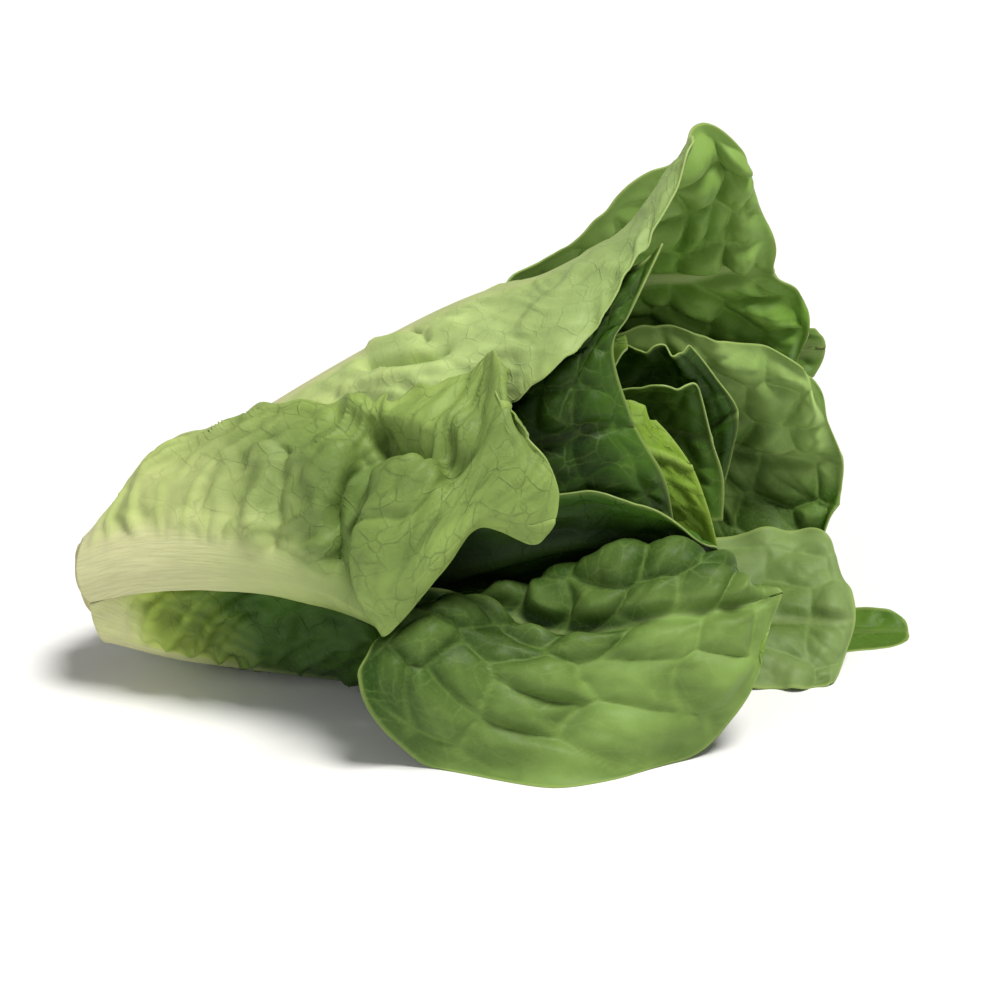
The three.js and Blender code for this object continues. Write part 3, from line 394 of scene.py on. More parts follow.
LOOKS = {
    "leaf_front_outer": Look("outer_leaf", grid=(200, 130), vein_gap=(6, 17), vein_slope=(0.15, 0.9),
        cell=(42, 18), puff=(2, 0.7), roundness=(0, 0.7), wrinkle=(3, 0.9), crinkle=0.3, lift=0.5,
        rib_sink=0, pale_rib=(14, 2.5), rib_fade=(1, 0.03), fade_span=(0.25, 0.6), stalk=110,
        frill=(0.2, 1.5), ragged=(0.1, 2.8), depth=(6, 30), light_end=0.7, folds=FRONT_FOLDS,
        outer="#728c46", outer_light="#90a856", young="#dde49c"),
    "leaf_top_outer": Look("outer_leaf", vein_gap=(12, 18), cell=(24, 18), puff=(0.5, 0.9),
        roundness=(0.4, 0.7), wrinkle=(1.2, 1.1), crinkle=0.25, lift=0.5, rib_sink=0,
        pale_rib=(11, 2.5), rib_fade=(1, 0.4), stalk=230, frill=(2, 0.8), ragged=(1.6, 0.9),
        depth=(1, 12), light_end=0.8, folds=TOP_FOLDS, outer="#b6d084", outer_light="#839d56",
        young="#c8d285"),
    "leaf_under": Look("outer_leaf", grid=(150, 100), vein_gap=(6.5, 12), vein_slope=(0.2, 0.7),
        cell=(30, 14), puff=(2.4, 2.4), roundness=(0.1, 0.7), wrinkle=(3.2, 2.6), crinkle=0.45,
        lift=1.15, rib_sink=0, pale_rib=(9, 3), rib_fade=(1, 0.4), stalk=64, pale_base=24,
        frill=(0.8, 0.2), ragged=(0.6, 0.1), outer="#2b4a08", outer_light="#3e6414", young="#dff56e"),
    "leaf_back_outer": Look("outer_leaf", grid=(130, 84), vein_gap=(6, 17), vein_slope=(0.2, 0.9),
        cell=(42, 18), puff=(2, 1.2), roundness=(0, 0.7), wrinkle=(2.4, 1.2), crinkle=0.4, lift=0.5,
        rib_sink=0, pale_rib=(12, 3), rib_fade=(1, 0.4), stalk=95, ragged=(1.4, 1.4), outer="#677f33",
        outer_light="#8fa64e", young="#c4ce80"),
    "leaf_trailing": Look("outer_leaf", grid=(130, 70), vein_gap=(9, 15), cell=(20, 13), lift=0.5,
        rib_sink=0, pale_rib=(8, 1.6), rib_fade=(0.9, 0.2), stalk=70, frill=(0.5, 0.5),
        ragged=(0.5, 0.5), smooth_margin=3, outer="#6b8440", outer_light="#8b9e5c", inner="#3b5c10",
        inner_light="#567828"),
    # Its greens are lightened to stand in for light shining through the leaf, a painted glow, and dark_side
    # paints shade over one half.
    "leaf_back_tall": Look("inner_leaf", grid=(180, 120), vein_gap=(12, 13), vein_slope=(0.5, 1.1),
        cell=(19, 13), puff=(3.2, 6), roundness=(0.75, 0.95), wrinkle=(0.5, 0.9), pale_rib=(6, 1.4),
        rib_fade=(1, 0.1), fade_span=(0.72, 0.95), frill=(1, 1), ragged=(0.8, 0.8), smooth_margin=6,
        depth=(12, 38), dark_side=1, inner="#618a2c", inner_light="#84a452"),
    # Its deep green, and dark_side and dark_base with dark_until, are painted shade over the upper half and
    # the base, where the leaves above shade it.
    "leaf_front_spread": Look("inner_leaf", grid=(200, 140), vein_gap=(14, 19), vein_slope=(0.5, 0.9),
        cell=(15, 15), puff=(3.4, 5.2), roundness=(0.9, 1), wrinkle=(0.3, 0.5), rib_sink=2.0,
        pale_rib=(2, 0.7), rib_fade=(0.5, 0.2), stalk=12, frill=(0.5, 0.5), smooth_margin=11,
        depth=(34, 64), flipped=True, dark_side=1, dark_base=0.95, dark_until=(0.68, 0.5),
        inner="#22400a", inner_light="#7a964c"),
    "leaf_back_low": Look("inner_leaf", grid=(140, 90), vein_gap=(13, 17), cell=(18, 14),
        puff=(1.6, 2.8), roundness=(0.7, 0.9), pale_rib=(5, 1.2), rib_fade=(0.7, 0.15),
        frill=(0.6, 0.6), ragged=(0.5, 0.5), smooth_margin=6, inner="#567030", inner_light="#7a9155"),
    # Its dark green is partly its own and deepened with painted shade from the leaves over it.
    "leaf_front_upper": Look("inner_leaf", grid=(140, 100), vein_gap=(11, 14), cell=(15, 11),
        puff=(1.4, 2.8), roundness=(0.6, 0.9), pale_rib=(4, 1), rib_fade=(0.2, 0.05), stalk=30,
        frill=(1, 1), smooth_margin=4, depth=(6, 20), flipped=True, outer="#2a430c",
        outer_light="#557526", inner="#122703", inner_light="#3f601c"),
    # Its pale margin green is a painted sheen and glow, and its deep green with dark_side is painted shade
    # over one half.
    "leaf_back_middle": Look("inner_leaf", vein_gap=(15, 18), vein_slope=(0.5, 1.1), cell=(18, 14),
        puff=(2.4, 4.2), roundness=(0.7, 0.95), wrinkle=(0.4, 0.8), pale_rib=(5, 1),
        rib_fade=(0.7, 0.1), stalk=30, frill=(1, 1), smooth_margin=7, depth=(22, 46), dark_side=1,
        inner="#33580a", inner_light="#a0be6c"),
    # Its near-black greens, its base too, are painted shade under the leaves over it.
    "leaf_front_inner": Look("inner_leaf", grid=(130, 80), vein_gap=(11, 15), cell=(15, 12),
        puff=(1, 1.6), roundness=(0.6, 0.9), pale_rib=(4, 0.9), rib_fade=(0.05, 0.02), stalk=10,
        frill=(0.5, 0.5), ragged=(0.4, 0.4), smooth_margin=4, depth=(1, 20), outer="#162c04",
        outer_light="#3d6614", inner="#162c04", inner_light="#3d6614", young="#2c4510"),
    # Its near-black greens are painted shade deep inside the head.
    "leaf_heart_back": Look("inner_leaf", grid=(110, 80), vein_gap=(10, 13), cell=(13, 10),
        puff=(1, 1.9), roundness=(0.6, 0.9), pale_rib=(4, 1), rib_fade=(0.6, 0.1), stalk=30,
        frill=(2, 2), smooth_margin=4, inner="#193104", inner_light="#2f4f12"),
    "leaf_heart_front": Look("heart_leaf", grid=(110, 80), cell=(12, 9), puff=(0.8, 1.3),
        roundness=(0.6, 0.9), rib_fade=(0.8, 0.3), stalk=70, smooth_margin=4, outer="#6c9028",
        outer_light="#86a636", inner="#75952a", inner_light="#88a838", young="#a0b04c"),
    "leaf_heart_top": Look("heart_leaf", grid=(80, 60)),
    "leaf_heart_low": Look("heart_leaf", grid=(80, 60)),
    # Its near-black greens are painted shade deep inside the head.
    "leaf_inner_curl": Look("inner_leaf", grid=(100, 70), cell=(12, 9), puff=(0.8, 1.5),
        roundness=(0.6, 0.9), stalk=30, frill=(1.6, 1.6), smooth_margin=4, inner="#1f3a07",
        inner_light="#45671d"),
    "leaf_centre_upper": Look("heart_leaf", grid=(70, 50), vein_gap=(7, 9), puff=(0.5, 0.9),
        outer="#7f9a36", outer_light="#90aa44", inner="#7b9733", inner_light="#90aa44", young="#b1bd6c",
        inner_young="#b1bd6c"),
    "leaf_centre_lower": Look("heart_leaf", grid=(70, 50), vein_gap=(7, 9), puff=(0.4, 0.7),
        outer="#8ba342", outer_light="#9bb250", inner="#88a03f", inner_light="#9bb250", young="#b9c478",
        inner_young="#b9c478"),
}


def stem_places(radius, height, turn):
    """Places round the stem, which runs along the head's tilted axis."""
    across = radius * np.cos(turn)
    return np.stack([
        BUTT_X + height * math.cos(TILT) - across * math.sin(TILT),
        radius * np.sin(turn),
        BUTT_HEIGHT + height * math.sin(TILT) + across * math.cos(TILT),
    ], axis=-1)


# The solid model's origin is the middle of its underside, so everything moves by the same amount.
stem_turns = np.radians(np.arange(0, 360, 15))[:, None]
stem_low = stem_places(*np.transpose(STEM_PROFILE), stem_turns).reshape(-1, 3).min(axis=0)
SHIFT = np.array(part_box("stem_core")[0]) / MM - stem_low


def spline_weights(count, shares):
    """Catmull-Rom weights of `count` points at shares of the way, the ends carried on straight."""
    place_along = np.clip(shares, 0, 1) * (count - 1)
    first = np.minimum(count - 2, np.floor(place_along).astype(int))
    u = place_along - first
    padded = np.zeros((len(shares), count + 2))
    step = np.arange(len(shares))
    padded[step, first] = -0.5 * u**3 + u**2 - 0.5 * u
    padded[step, first + 1] = 1.5 * u**3 - 2.5 * u**2 + 1
    padded[step, first + 2] = -1.5 * u**3 + 2 * u**2 + 0.5 * u
    padded[step, first + 3] = 0.5 * u**3 - 0.5 * u**2
    weights = padded[:, 1:-1].copy()
    weights[:, 0] += 2 * padded[:, 0]
    weights[:, 1] -= padded[:, 0]
    weights[:, -1] += 2 * padded[:, -1]
    weights[:, -2] -= padded[:, -1]
    return weights


# Chance values are drawn into square tables and repeat after this many lumps or cells.
NOISE_TABLE = 64
CELL_TABLE = 96
CELL_SPREAD = 0.62


def noise(x, y, seed):
    """Smooth noise from -1 to 1, one lump to a unit."""
    table = np.random.RandomState(seed).rand(NOISE_TABLE, NOISE_TABLE) * 2 - 1
    column, row = np.floor(x).astype(int), np.floor(y).astype(int)
    u, v = x - column, y - row
    u, v = u * u * (3 - 2 * u), v * v * (3 - 2 * v)
    left, right = column % NOISE_TABLE, (column + 1) % NOISE_TABLE
    low, high = row % NOISE_TABLE, (row + 1) % NOISE_TABLE
    near = mix(table[low, left], table[low, right], u)
    far = mix(table[high, left], table[high, right], u)
    return mix(near, far, v)


def cells(x, y, seed):
    """Uneven cells, one to a unit: 0 on the seams rising to 1 inside, and a chance value for each cell."""
    chance = np.random.RandomState(seed).rand(3, CELL_TABLE, CELL_TABLE)
    column, row = np.floor(x).astype(int), np.floor(y).astype(int)
    nearest, second = np.full(x.shape, 9.0), np.full(x.shape, 9.0)
    value = np.zeros(x.shape)
    for i in (-1, 0, 1):
        for j in (-1, 0, 1):
            a, b = (column + i) % CELL_TABLE, (row + j) % CELL_TABLE
            away = np.hypot(column + i + 0.5 + CELL_SPREAD * (chance[0, a, b] - 0.5) - x,
                            row + j + 0.5 + CELL_SPREAD * (chance[1, a, b] - 0.5) - y)
            closer = away < nearest
            second = np.where(closer, nearest, np.minimum(second, away))
            value = np.where(closer, chance[2, a, b], value)
            nearest = np.where(closer, away, nearest)
    return np.clip((second - nearest) / 0.8, 0, 1), value


def unit(vectors):
    return vectors / np.maximum(1e-9, np.linalg.norm(vectors, axis=-1, keepdims=True))


def facing(points):
    """Outward directions of a grid of points."""
    return unit(np.cross(np.gradient(points, axis=0), np.gradient(points, axis=1)))


def fold_heights(folds, l, w):
    """How far the folds stand out at each place on a leaf."""
    height = np.zeros(l.shape)
    for line, half_width, rise in folds:
        away = np.full(l.shape, 1e3)
        for (l0, w0), (l1, w1) in zip(line, line[1:]):
            run, side = l1 - l0, w1 - w0
            share = np.clip(((l - l0) * run + (w - w0) * side) / (run**2 + side**2), 0, 1)
            away = np.minimum(away, np.hypot(l - l0 - share * run, w - w0 - share * side))
        height += rise * np.exp(-((away / half_width) ** 2))
    return height


# Side veins curve back as they run out, and the two halves take turns.
VEIN_CURVE = 0.004
HALF_STEP = 0.45
HALVES_APART = (30.45, 40)
SMALL_BLISTERS = 2.3
SMALL_RISE = 0.16


def leaf_surface(leaf, look, seed):
    """The blade's middle surface in millimetres, its thickness, and the masks that its finish reads."""
    long_steps, wide_steps = look.grid
    along = np.linspace(0, 1, long_steps + 1)
    across = np.linspace(0, 1, wide_steps + 1)
    net = np.array([place(row) for row in leaf.rows])
    points = np.einsum("ia,abk,jb->ijk", spline_weights(net.shape[0], along), net,
                       spline_weights(net.shape[1], across))
    rib = leaf.rib_column / (net.shape[1] - 1)
    s, t = np.meshgrid(along, across, indexing="ij")

    # Millimetres along the rib and across from it, and from the nearest margin
    width_step = np.linalg.norm(np.diff(points, axis=1), axis=-1)
    width = np.concatenate([np.zeros((long_steps + 1, 1)), np.cumsum(width_step, axis=1)], axis=1)
    rib_at = np.array([np.interp(rib, across, row) for row in width])
    w = width - rib_at[:, None]
    rib_line = np.array([[np.interp(rib, across, row[:, k]) for k in range(3)] for row in points])
    length = np.concatenate([[0], np.cumsum(np.linalg.norm(np.diff(rib_line, axis=0), axis=1))])
    total = length[-1]
    l = np.broadcast_to(length[:, None], w.shape)
    off = np.abs(w)
    half = np.where(w < 0, rib_at[:, None], (width[:, -1] - rib_at)[:, None])
    margin = np.maximum(np.minimum(half - off, (total - l) * 1.2), 0)
    side = np.sign(w)
    low_side = w < 0

    def from_base(pair):
        return mix(*pair, s)

    def lumps(size, step):
        return noise(l / size, w / size, seed + step)

    # The leaf's broad waves, as in the solid
    normal = facing(points)
    rib_w = from_base(leaf.rib_width)
    free = smooth(0.5, 1, np.abs(t - rib) / max(rib, 1 - rib)) * smooth(0.35, 0.7, s)
    between = smooth(rib_w, rib_w * 2.4, off) * (1 - free)
    wave = leaf.ruffle * free * np.sin(2 * np.pi * leaf.waves * s + np.where(t < rib, 1.7, 0))
    ridge = np.cos(2 * np.pi * (7 * s - 1.6 * np.abs(t - rib)))
    wave += leaf.ridges * between * ridge * smooth(0.85, 0.5, s)

    # Side veins leave the rib and lean towards the tip; the blade puffs between them
    slope = from_base(look.vein_slope)
    gap = mix(*look.vein_gap, along)
    count = np.concatenate([[0], np.cumsum(np.diff(length) / gap[1:])])
    warp = lumps(26, 0) * 5.5 + lumps(10, 1) * 2.4
    source = l - slope * off - VEIN_CURVE * off**2 + warp
    u = np.interp(source, length, count) + np.minimum(0, source) / look.vein_gap[0] + HALF_STEP * low_side
    band = np.floor(u)
    from_vein = np.minimum(u - band, band + 1 - u) * 2
    pillow = (1 - (1 - from_vein) ** 2.2) * (0.75 + 0.75 * lumps(15, 3))
    v = off / from_base(look.cell) + HALVES_APART[1] * low_side
    run = np.interp(l + 0.6 * warp - 0.3 * slope * off, length, count) + HALVES_APART[0] * low_side
    seam, lump = cells(run, v, seed + 2)
    small_seam, small_lump = cells(run * SMALL_BLISTERS, v * SMALL_BLISTERS, seed + 20)
    blister = (1 - (1 - seam) ** 1.9) * (0.45 + 0.85 * lump)
    blister += SMALL_RISE * (1 - (1 - small_seam) ** 2) * small_lump
    roundness = from_base(look.roundness)
    height = mix(pillow, blister, roundness)
    past_base = smooth(4, 22, l)
    quiet = smooth(0.55 * rib_w, 1.5 * rib_w, off) * past_base
    quiet = quiet * smooth(0, look.smooth_margin, margin - 0.35 * look.smooth_margin)
    puff = from_base(look.puff) * height * quiet

    # Wrinkles that run out from the rib, fine crinkles, and small waves along the free margins
    fold_line = 1 - np.abs(noise((source + 4 * lumps(20, 11)) / 8, off / 26, seed + 12))
    wrinkle = from_base(look.wrinkle) * (fold_line**3 - 0.3) * quiet
    crinkle = wrinkle + look.crinkle * (lumps(3.1, 4) + lumps(5.3, 14)) * quiet
    sink = look.rib_sink * np.exp(-((off / (0.8 * rib_w)) ** 2)) * past_base * smooth(1, 8, margin)
    lift = look.lift * from_base(look.puff) * quiet + sink
    frill = np.where(low_side, *look.frill) * smooth(16, 1, margin) * smooth(0.12, 0.4, s)
    puffed = 1 if look.flipped else -1
    folds = fold_heights(look.folds, l + 2 * lumps(9, 30), w + 2 * lumps(8, 31))
    frill *= noise(l / 9 + side * 7, margin / 30, seed + 5) + 0.5 * noise(l / 4, margin / 12, seed + 6)
    points = points + normal * (wave + crinkle + frill + folds + puffed * (puff - lift))[..., None]

    # An uneven outline
    sideways = unit(np.gradient(points, axis=1))
    ragged = noise(l / 7 + side * 3, 0 * l, seed + 7) + 0.35 * noise(l / 4, side, seed + 8)
    reach = side * ragged * np.where(low_side, *look.ragged) * smooth(10, 0, half - off)
    reach = reach * smooth(0.03, 0.12, s) * smooth(1, 0.9, s)
    points = points + sideways * reach[..., None]

    # The rib swells outwards and thickens the blade; the base has a heel on the inside
    normal = facing(points)
    rib_h = mix(*leaf.rib_height, np.sqrt(s))
    bulge = rib_h * np.exp(-((off / rib_w) ** 2))
    vein_away = from_vein * gap[:, None] / 2
    side_rib = (1 - roundness) * np.exp(-((vein_away / 1.1) ** 2)) * smooth(rib_w * 0.5, rib_w, off)
    side_rib = 0.4 * side_rib * smooth(0.5, 10, margin)
    heel = leaf.heel * (1 - smooth(0, 0.14, s))
    thickness = mix(BLADE * 0.75, BLADE, smooth(0, 4, margin)) + bulge + side_rib + heel
    points = points + normal * ((-puffed * (bulge + side_rib) - heel) / 2)[..., None]
    z = points[..., 2]
    points[..., 2] = 0.5 * (z + np.hypot(z, GROUND_SOFTNESS))

    pale = mix(*look.pale_rib, smooth(0, 0.95, s))
    fade = mix(*look.rib_fade, smooth(*look.fade_span, s))
    streak = noise(l / 26, w / 2.2, seed + 9)
    masks = {
        "rib": smooth(1.25, 0.55, off / pale + 0.14 * streak) * fade,
        "heel": smooth(look.pale_base, 0.4 * look.pale_base, l + 0.1 * off + 2 * streak),
        "vein": np.maximum(
            (1 - 0.7 * roundness) * np.exp(-((vein_away / mix(1.5, 0.9, s)) ** 2)),
            roundness * np.exp(-((seam * 0.4 * gap[:, None] / 0.7) ** 2)),
        ) * smooth(0.5, 7, margin),
        "puff": np.clip(height * quiet, 0, 1),
        "margin": smooth(1.8, 0, margin),
        # Painted shade: darker away from the margins, towards the base and over one half, and lighter
        # towards the tip.
        "depth": np.maximum.reduce([
            smooth(*look.depth, margin + 6 * lumps(16, 10)),
            look.dark_base * smooth(*look.dark_until, s),
            look.dark_side * smooth(-4, 16, w + 5 * lumps(12, 13)),
        ]) * (1 - look.light_end * smooth(0.5, 0.64, s)),
        "stalk": np.clip(smooth(look.stalk, look.stalk * 0.1, l + 0.35 * off + 5 * streak), 0, 1),
    }
    return points, thickness, masks, np.stack([l, w], axis=-1)


def clear_selection():
    bpy.ops.object.select_all(action="DESELECT")


def mesh_points(mesh):
    flat = np.empty(len(mesh.vertices) * 3, dtype=np.float32)
    mesh.vertices.foreach_get("co", flat)
    return flat.reshape(-1, 3)


def move_points(mesh, points):
    mesh.vertices.foreach_set("co", points.astype(np.float32).ravel())


def set_attribute(mesh, name, values):
    layer = mesh.attributes.new(name, "FLOAT", "POINT")
    layer.data.foreach_set("value", np.ascontiguousarray(values, dtype=np.float32))


# Millimetres along a leaf and across it to one unit of its chart
CHART_UNIT = 100


def build_leaf(leaf, look, seed, materials):
    """A grid laid on the leaf's surface and given its thickness."""
    points, thickness, masks, chart = leaf_surface(leaf, look, seed)
    long_steps, wide_steps = look.grid
    clear_selection()
    bpy.ops.mesh.primitive_grid_add(x_subdivisions=long_steps, y_subdivisions=wide_steps, size=2)
    piece = bpy.context.active_object
    piece.name = leaf.name + "_fine"
    mesh = piece.data
    flat = mesh_points(mesh)
    i = np.rint((flat[:, 0] + 1) / 2 * long_steps).astype(int)
    j = np.rint((flat[:, 1] + 1) / 2 * wide_steps).astype(int)
    move_points(mesh, (points[i, j] + SHIFT) * MM)
    for name, values in masks.items():
        set_attribute(mesh, name, values[i, j])
    corners = np.empty(len(mesh.loops), dtype=np.int32)
    mesh.loops.foreach_get("vertex_index", corners)
    layer = mesh.uv_layers[0]
    layer.name = "chart"
    layer.data.foreach_set("uv", (chart[i, j][corners] / CHART_UNIT).astype(np.float32).ravel())
    widest = float(thickness.max())
    group = piece.vertex_groups.new(name="thickness")
    for index, share in enumerate((thickness[i, j] / widest).tolist()):
        group.add([index], share, "REPLACE")
    for material in materials:
        mesh.materials.append(material)
    solidify = piece.modifiers.new("thickness", "SOLIDIFY")
    solidify.thickness = widest * MM
    solidify.offset = 0
    solidify.vertex_group = "thickness"
    solidify.material_offset = 1
    solidify.material_offset_rim = 2
    bpy.ops.object.modifier_apply(modifier="thickness")
    grounded = mesh_points(mesh)
    grounded[:, 2] = np.maximum(grounded[:, 2], 0)
    move_points(mesh, grounded)
    bpy.ops.object.shade_smooth()
    piece.vertex_groups.clear()
    mesh.update()
    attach(piece, "root")
    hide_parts(leaf.name)


def colour(text, amount=1):
    """A web colour as light values, made darker by an amount below 1 and lighter above."""
    parts = [int(text[k:k + 2], 16) / 255 for k in (1, 3, 5)]
    light = [p / 12.92 if p <= 0.04045 else ((p + 0.055) / 1.055) ** 2.4 for p in parts]
    return tuple(min(1, part * amount) for part in light) + (1,)


class Wire:
    """A value on a material's wires, so that sums on it read as sums."""

    def __init__(self, finish, socket):
        self.finish = finish
        self.socket = socket

    def __add__(self, other):
        return self.finish.maths("ADD", self, other)

    def __radd__(self, other):
        return self.finish.maths("ADD", other, self)

    def __sub__(self, other):
        return self.finish.maths("SUBTRACT", self, other)

    def __rsub__(self, other):
        return self.finish.maths("SUBTRACT", other, self)

    def __mul__(self, other):
        return self.finish.maths("MULTIPLY", self, other)

    def __rmul__(self, other):
        return self.finish.maths("MULTIPLY", other, self)


class Finish:
    """A material as it is wired up."""

    def __init__(self, name):
        self.material = bpy.data.materials.new(name)
        self.material.use_nodes = True
        self.tree = self.material.node_tree
        self.tree.nodes.clear()

    def node(self, kind, settings=None, sockets=None):
        made = self.tree.nodes.new(kind)
        for key, value in (settings or {}).items():
            setattr(made, key, value)
        for key, value in (sockets or {}).items():
            if isinstance(value, Wire):
                self.tree.links.new(value.socket, made.inputs[key])
            else:
                made.inputs[key].default_value = value
        return made

    def wire(self, kind, settings=None, sockets=None, output=0):
        return Wire(self, self.node(kind, settings, sockets).outputs[output])

    def maths(self, operation, a, b):
        return self.wire("ShaderNodeMath", {"operation": operation}, {0: a, 1: b})

    def blend(self, share, a, b):
        return self.wire("ShaderNodeMix", {"data_type": "RGBA"}, {0: share, 6: a, 7: b}, output=2)

    def mask(self, name):
        return self.wire("ShaderNodeAttribute", {"attribute_name": name}, output="Fac")

    def ease(self, low, high, value):
        return self.wire("ShaderNodeMapRange", {"interpolation_type": "SMOOTHSTEP"},
                         {"Value": value, "From Min": low, "From Max": high})

    def grain(self, places, scale, detail=2.0, output=0):
        sockets = {"Vector": places, "Scale": scale, "Detail": detail}
        return self.wire("ShaderNodeTexNoise", None, sockets, output)

    def finish(self, sockets, relief, strength, distance_m):
        bump = self.wire("ShaderNodeBump", None,
                         {"Strength": strength, "Distance": distance_m, "Height": relief})
        shader = self.wire("ShaderNodeBsdfPrincipled", None, {**sockets, "Normal": bump})
        self.node("ShaderNodeOutputMaterial", None, {0: shader})
        return self.material


RIB_CREAM = "#cccb9c"
VEIN_LIGHT = "#8fa75a"
MARGIN_LIGHT = "#94aa5c"
LEAF_GLOW = (0.6, 1.0, 0.25)
FLESH_GLOW = (1.0, 0.9, 0.5)


def leaf_finish(name, look, side):
    """Leaf skin: a pale rib, side veins, a fine net, lighter margins, painted shade away from the margins,
    painted light and shade on the blisters, and a yellow-green base.
    """
    skin = Finish(name)
    inside = side == "inner"
    blade, light = (look.inner, look.inner_light) if inside else (look.outer, look.outer_light)
    chart = skin.wire("ShaderNodeTexCoord", output="UV")
    places = skin.wire("ShaderNodeTexCoord", output="Object")
    names = ("rib", "vein", "puff", "margin", "stalk", "depth", "heel")
    rib, vein, puff, margin, stalk, depth, heel = (skin.mask(mask) for mask in names)
    cloud = skin.grain(places, 42.0, 3.0)
    fleck = skin.grain(places, 900.0)
    drawn = skin.wire("ShaderNodeMapping", None, {"Vector": chart, "Scale": (9.0, 130.0, 1.0)})
    streak = skin.grain(drawn, 1.0, 3.0)
    wander = skin.grain(chart, 14.0, output="Color")
    warped = skin.wire("ShaderNodeMix", {"data_type": "VECTOR"}, {0: 0.035, 4: chart, 5: wander}, output=1)
    edges = {"feature": "DISTANCE_TO_EDGE"}
    coarse = skin.wire("ShaderNodeTexVoronoi", edges, {"Vector": warped, "Scale": 15.0})
    fine = skin.wire("ShaderNodeTexVoronoi", edges, {"Vector": warped, "Scale": 46.0})
    net = (skin.ease(0.06, 0.0, coarse) * 0.75 + skin.ease(0.1, 0.0, fine) * 0.25) * (1.0 - rib)
    net = net * skin.ease(0.35, 0.6, wander) * (1.0 - 0.8 * stalk)

    patches = skin.ease(0.3, 0.72, cloud)
    # Painted shade: the lighter margin green darkens into the deeper green away from the margins.
    green = skin.blend(depth, colour(light), colour(blade))
    green = skin.blend(patches * 0.55, green, colour(blade, 0.72))
    base = look.inner_young if inside else look.young
    young = skin.blend(patches, colour(base), colour(base, 0.8))
    green = skin.blend(stalk * (1.0 - 0.45 * puff), green, young)
    if inside:
        # Blister tops painted lighter: a painted highlight.
        green = skin.blend(puff * 0.3, green, colour(light, 1.1))
        green = skin.blend(net * 0.16, green, colour(VEIN_LIGHT))
        green = skin.blend(vein * 0.26, green, colour(light, 1.5))
    else:
        # Blister hollows painted darker: painted shade.
        green = skin.blend(puff * 0.35, green, colour(blade, 0.6))
        green = skin.blend(net * 0.5, green, colour(blade, 0.45))
        green = skin.blend(vein * 0.4, green, skin.blend(stalk, colour(blade, 0.5), colour(light, 1.3)))
    green = skin.blend(margin * (0.6 if inside else 0.35), green, colour(MARGIN_LIGHT))
    cream = skin.blend(skin.ease(0.3, 0.7, streak), colour(RIB_CREAM), colour(RIB_CREAM, 0.84))
    cream = skin.blend(stalk, skin.blend(0.75, colour(RIB_CREAM), colour(light)), cream)
    skin_colour = skin.blend(skin.maths("MAXIMUM", rib * 0.95, heel * 0.85), green, cream)
    skin_colour = skin.blend(skin.ease(0.5, 0.72, fleck) * 0.08, skin_colour, colour(light, 1.3))

    relief = net * (0.0 if inside else 0.4) + fleck * 0.12 + streak * rib * 0.6 + cloud * 0.3
    shine = 0.14 if inside else 0.2
    gloss = (0.46 if inside else 0.5) + fleck * 0.12 - puff * 0.05 + rib * 0.04
    return skin.finish({
        "Base Color": skin_colour, "Roughness": gloss, "Subsurface Weight": 0.05,
        "Subsurface Radius": LEAF_GLOW, "Subsurface Scale": 0.002, "Specular IOR Level": shine,
    }, relief, 0.6, 0.0008)


def edge_finish(name, blade):
    """The thin cut of the leaf's margin."""
    skin = Finish(name)
    places = skin.wire("ShaderNodeTexCoord", output="Object")
    fleck = skin.grain(places, 300.0)
    tint = skin.blend(fleck, colour(MARGIN_LIGHT), skin.blend(0.5, colour(blade), colour(MARGIN_LIGHT)))
    tint = skin.blend(skin.mask("heel"), tint, skin.blend(fleck, colour(RIB_CREAM), colour(RIB_CREAM, 0.8)))
    return skin.finish({"Base Color": tint, "Roughness": 0.5, "Subsurface Weight": 0.15,
                        "Subsurface Radius": LEAF_GLOW, "Subsurface Scale": 0.003}, fleck, 0.2, 0.0003)


def stem_finish():
    """The cut stem: pale flesh, a ring of darker vessels and a dried brown rim."""
    skin = Finish("cut_stem")
    places = skin.wire("ShaderNodeTexCoord", output="Object")
    radial, face = skin.mask("radial"), skin.mask("face")
    cloud = skin.grain(places, 160.0, 4.0)
    pores = skin.wire("ShaderNodeTexVoronoi", None, {"Vector": places, "Scale": 900.0})
    vessels = skin.ease(0.16, 0.0, skin.maths("ABSOLUTE", radial + cloud * 0.12 - 0.68, 0.0)) * face
    rim = skin.ease(0.84, 1.0, radial + cloud * 0.1) * face
    flesh = skin.blend(cloud, colour("#c3c08e"), colour("#b0b378"))
    flesh = skin.blend(vessels * 0.6, flesh, colour("#8d8d4e"))
    flesh = skin.blend(rim * 0.75, flesh, colour("#9a7a4c"))
    flesh = skin.blend(skin.ease(0.55, 0.75, cloud) * face * 0.5, flesh, colour("#b58f5f"))
    return skin.finish({"Base Color": flesh, "Roughness": 0.5 + cloud * 0.15, "Subsurface Weight": 0.15,
                        "Subsurface Radius": FLESH_GLOW, "Subsurface Scale": 0.004},
                       cloud * 0.6 + pores * 0.4, 0.5, 0.0006)


STEM_SEED = 91


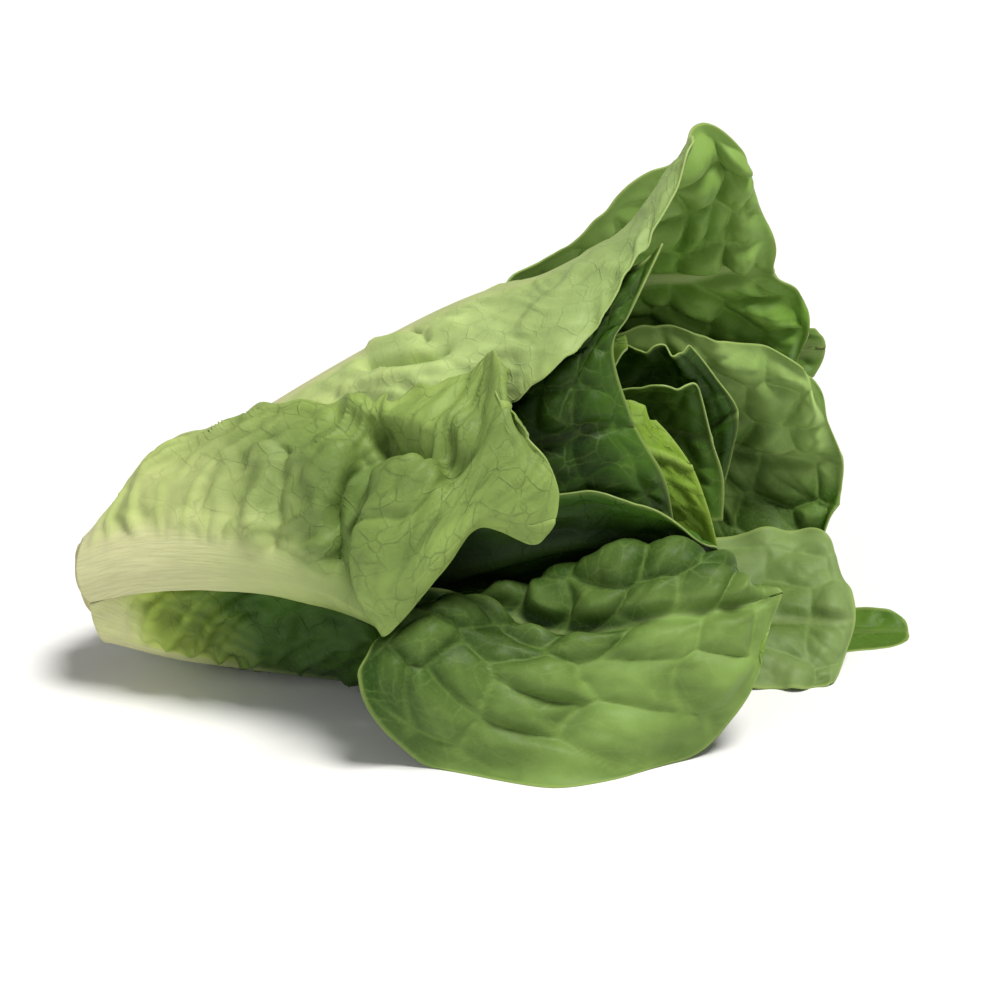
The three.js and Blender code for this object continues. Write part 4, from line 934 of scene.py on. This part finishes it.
def build_stem():
    """A ball drawn out into the stem, with a slightly uneven cut face."""
    segments, rings = 72, 70
    clear_selection()
    bpy.ops.mesh.primitive_uv_sphere_add(segments=segments, ring_count=rings, radius=1)
    piece = bpy.context.active_object
    piece.name = "stem_core_fine"
    mesh = piece.data
    ball = mesh_points(mesh)
    down = np.arccos(np.clip(-ball[:, 2], -1, 1)) / np.pi
    turn = np.arctan2(ball[:, 1], ball[:, 0])
    profile = np.array(STEM_PROFILE, float)
    run = np.concatenate([[0], np.cumsum(np.linalg.norm(np.diff(profile, axis=0), axis=1))])
    spread = np.interp(down, [0, 0.36, 0.52, 1], [0, 13.2, 24, run[-1]])
    radius = np.interp(spread, run, profile[:, 0])
    height = np.interp(spread, run, profile[:, 1])
    face = smooth(13.4, 11.8, spread)
    radius = radius * (1 + 0.03 * np.sin(3 * turn + 0.6) * smooth(0, 8, spread))
    height = height + face * 0.35 * noise(radius * np.cos(turn) / 3, radius * np.sin(turn) / 3, STEM_SEED)
    move_points(mesh, (stem_places(radius, height, turn) + SHIFT) * MM)
    set_attribute(mesh, "radial", radius / STEM_RADIUS)
    set_attribute(mesh, "face", face)
    bpy.ops.object.mode_set(mode="EDIT")
    bpy.ops.mesh.select_all(action="SELECT")
    bpy.ops.mesh.normals_make_consistent(inside=False)
    bpy.ops.object.mode_set(mode="OBJECT")
    bpy.ops.object.shade_smooth()
    mesh.materials.append(stem_finish())
    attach(piece, "root")
    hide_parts("stem_core")


# Each leaf draws its chance values from seeds of its own.
FIRST_SEED = 100
SEED_STEP = 17

for number, leaf in enumerate(LEAVES):
    look = LOOKS[leaf.name]
    label = leaf.name.replace("leaf_", "")
    skins = [leaf_finish(f"{label}_{side}_skin", look, side) for side in ("outer", "inner")]
    if look.flipped:
        skins.reverse()
    skins.append(edge_finish(label + "_margin", look.outer))
    build_leaf(leaf, look, FIRST_SEED + SEED_STEP * number, skins)
build_stem()


def floor_finish():
    plain = Finish("pale_floor")
    places = plain.wire("ShaderNodeTexCoord", output="Object")
    sockets = {"Base Color": (0.85, 0.85, 0.84, 1), "Roughness": 0.7}
    return plain.finish(sockets, plain.grain(places, 6.0), 0.02, 0.0002)


clear_selection()
bpy.ops.mesh.primitive_plane_add(size=40, location=(0, 0, 0))
floor = bpy.context.active_object
floor.name = "floor"
floor.data.materials.append(floor_finish())


def add_light(name, kind, power, tint):
    light = bpy.data.lights.new(name, kind)
    light.energy = power
    light.color = tint
    lamp = bpy.data.objects.new(name, light)
    bpy.context.scene.collection.objects.link(lamp)
    return light, lamp


# A soft light at the front left and a hazy sun from above
FILL_PLACE_M = np.array([-0.6, -1.1, 0.6])
FILL_AIM_M = np.array([0, 0, 0.07])
fill, fill_lamp = add_light("fill", "AREA", 3.5, (0.98, 0.99, 1.0))
fill.shape = "DISK"
fill.size = 0.8
fill_lamp.location = FILL_PLACE_M
away_x, away_y, away_z = FILL_PLACE_M - FILL_AIM_M
fill_tilt = math.atan2(math.hypot(away_x, away_y), away_z)
fill_lamp.rotation_euler = (fill_tilt, 0, math.atan2(away_y, away_x) + math.pi / 2)
sun, sun_lamp = add_light("key", "SUN", 3.6, (1.0, 0.98, 0.95))
sun.angle = math.radians(22)
sun_lamp.rotation_euler = (math.radians(11), math.radians(17), 0)
world = bpy.data.worlds.new("studio")
world.use_nodes = True
sky = world.node_tree.nodes["Background"].inputs
sky["Color"].default_value = (1, 1, 1, 1)
sky["Strength"].default_value = 0.22
bpy.context.scene.world = world
bpy.context.scene.view_settings.view_transform = "Standard"

# The camera looks down 22 degrees at the front of the head.
LOOK_DOWN = math.radians(22)
CAMERA_AWAY = 820
CAMERA_AIM = (3.0, 0.0, 58.0)
aim = np.array(CAMERA_AIM) + SHIFT
eye = aim + CAMERA_AWAY * np.array([0, -math.cos(LOOK_DOWN), math.sin(LOOK_DOWN)])
lens = bpy.data.cameras.new("camera")
lens.sensor_width = 36
lens.lens = 94.17
camera = bpy.data.objects.new("camera", lens)
bpy.context.scene.collection.objects.link(camera)
camera.location = eye * MM
camera.rotation_euler = (math.pi / 2 - LOOK_DOWN, 0, 0)
bpy.context.scene.camera = camera
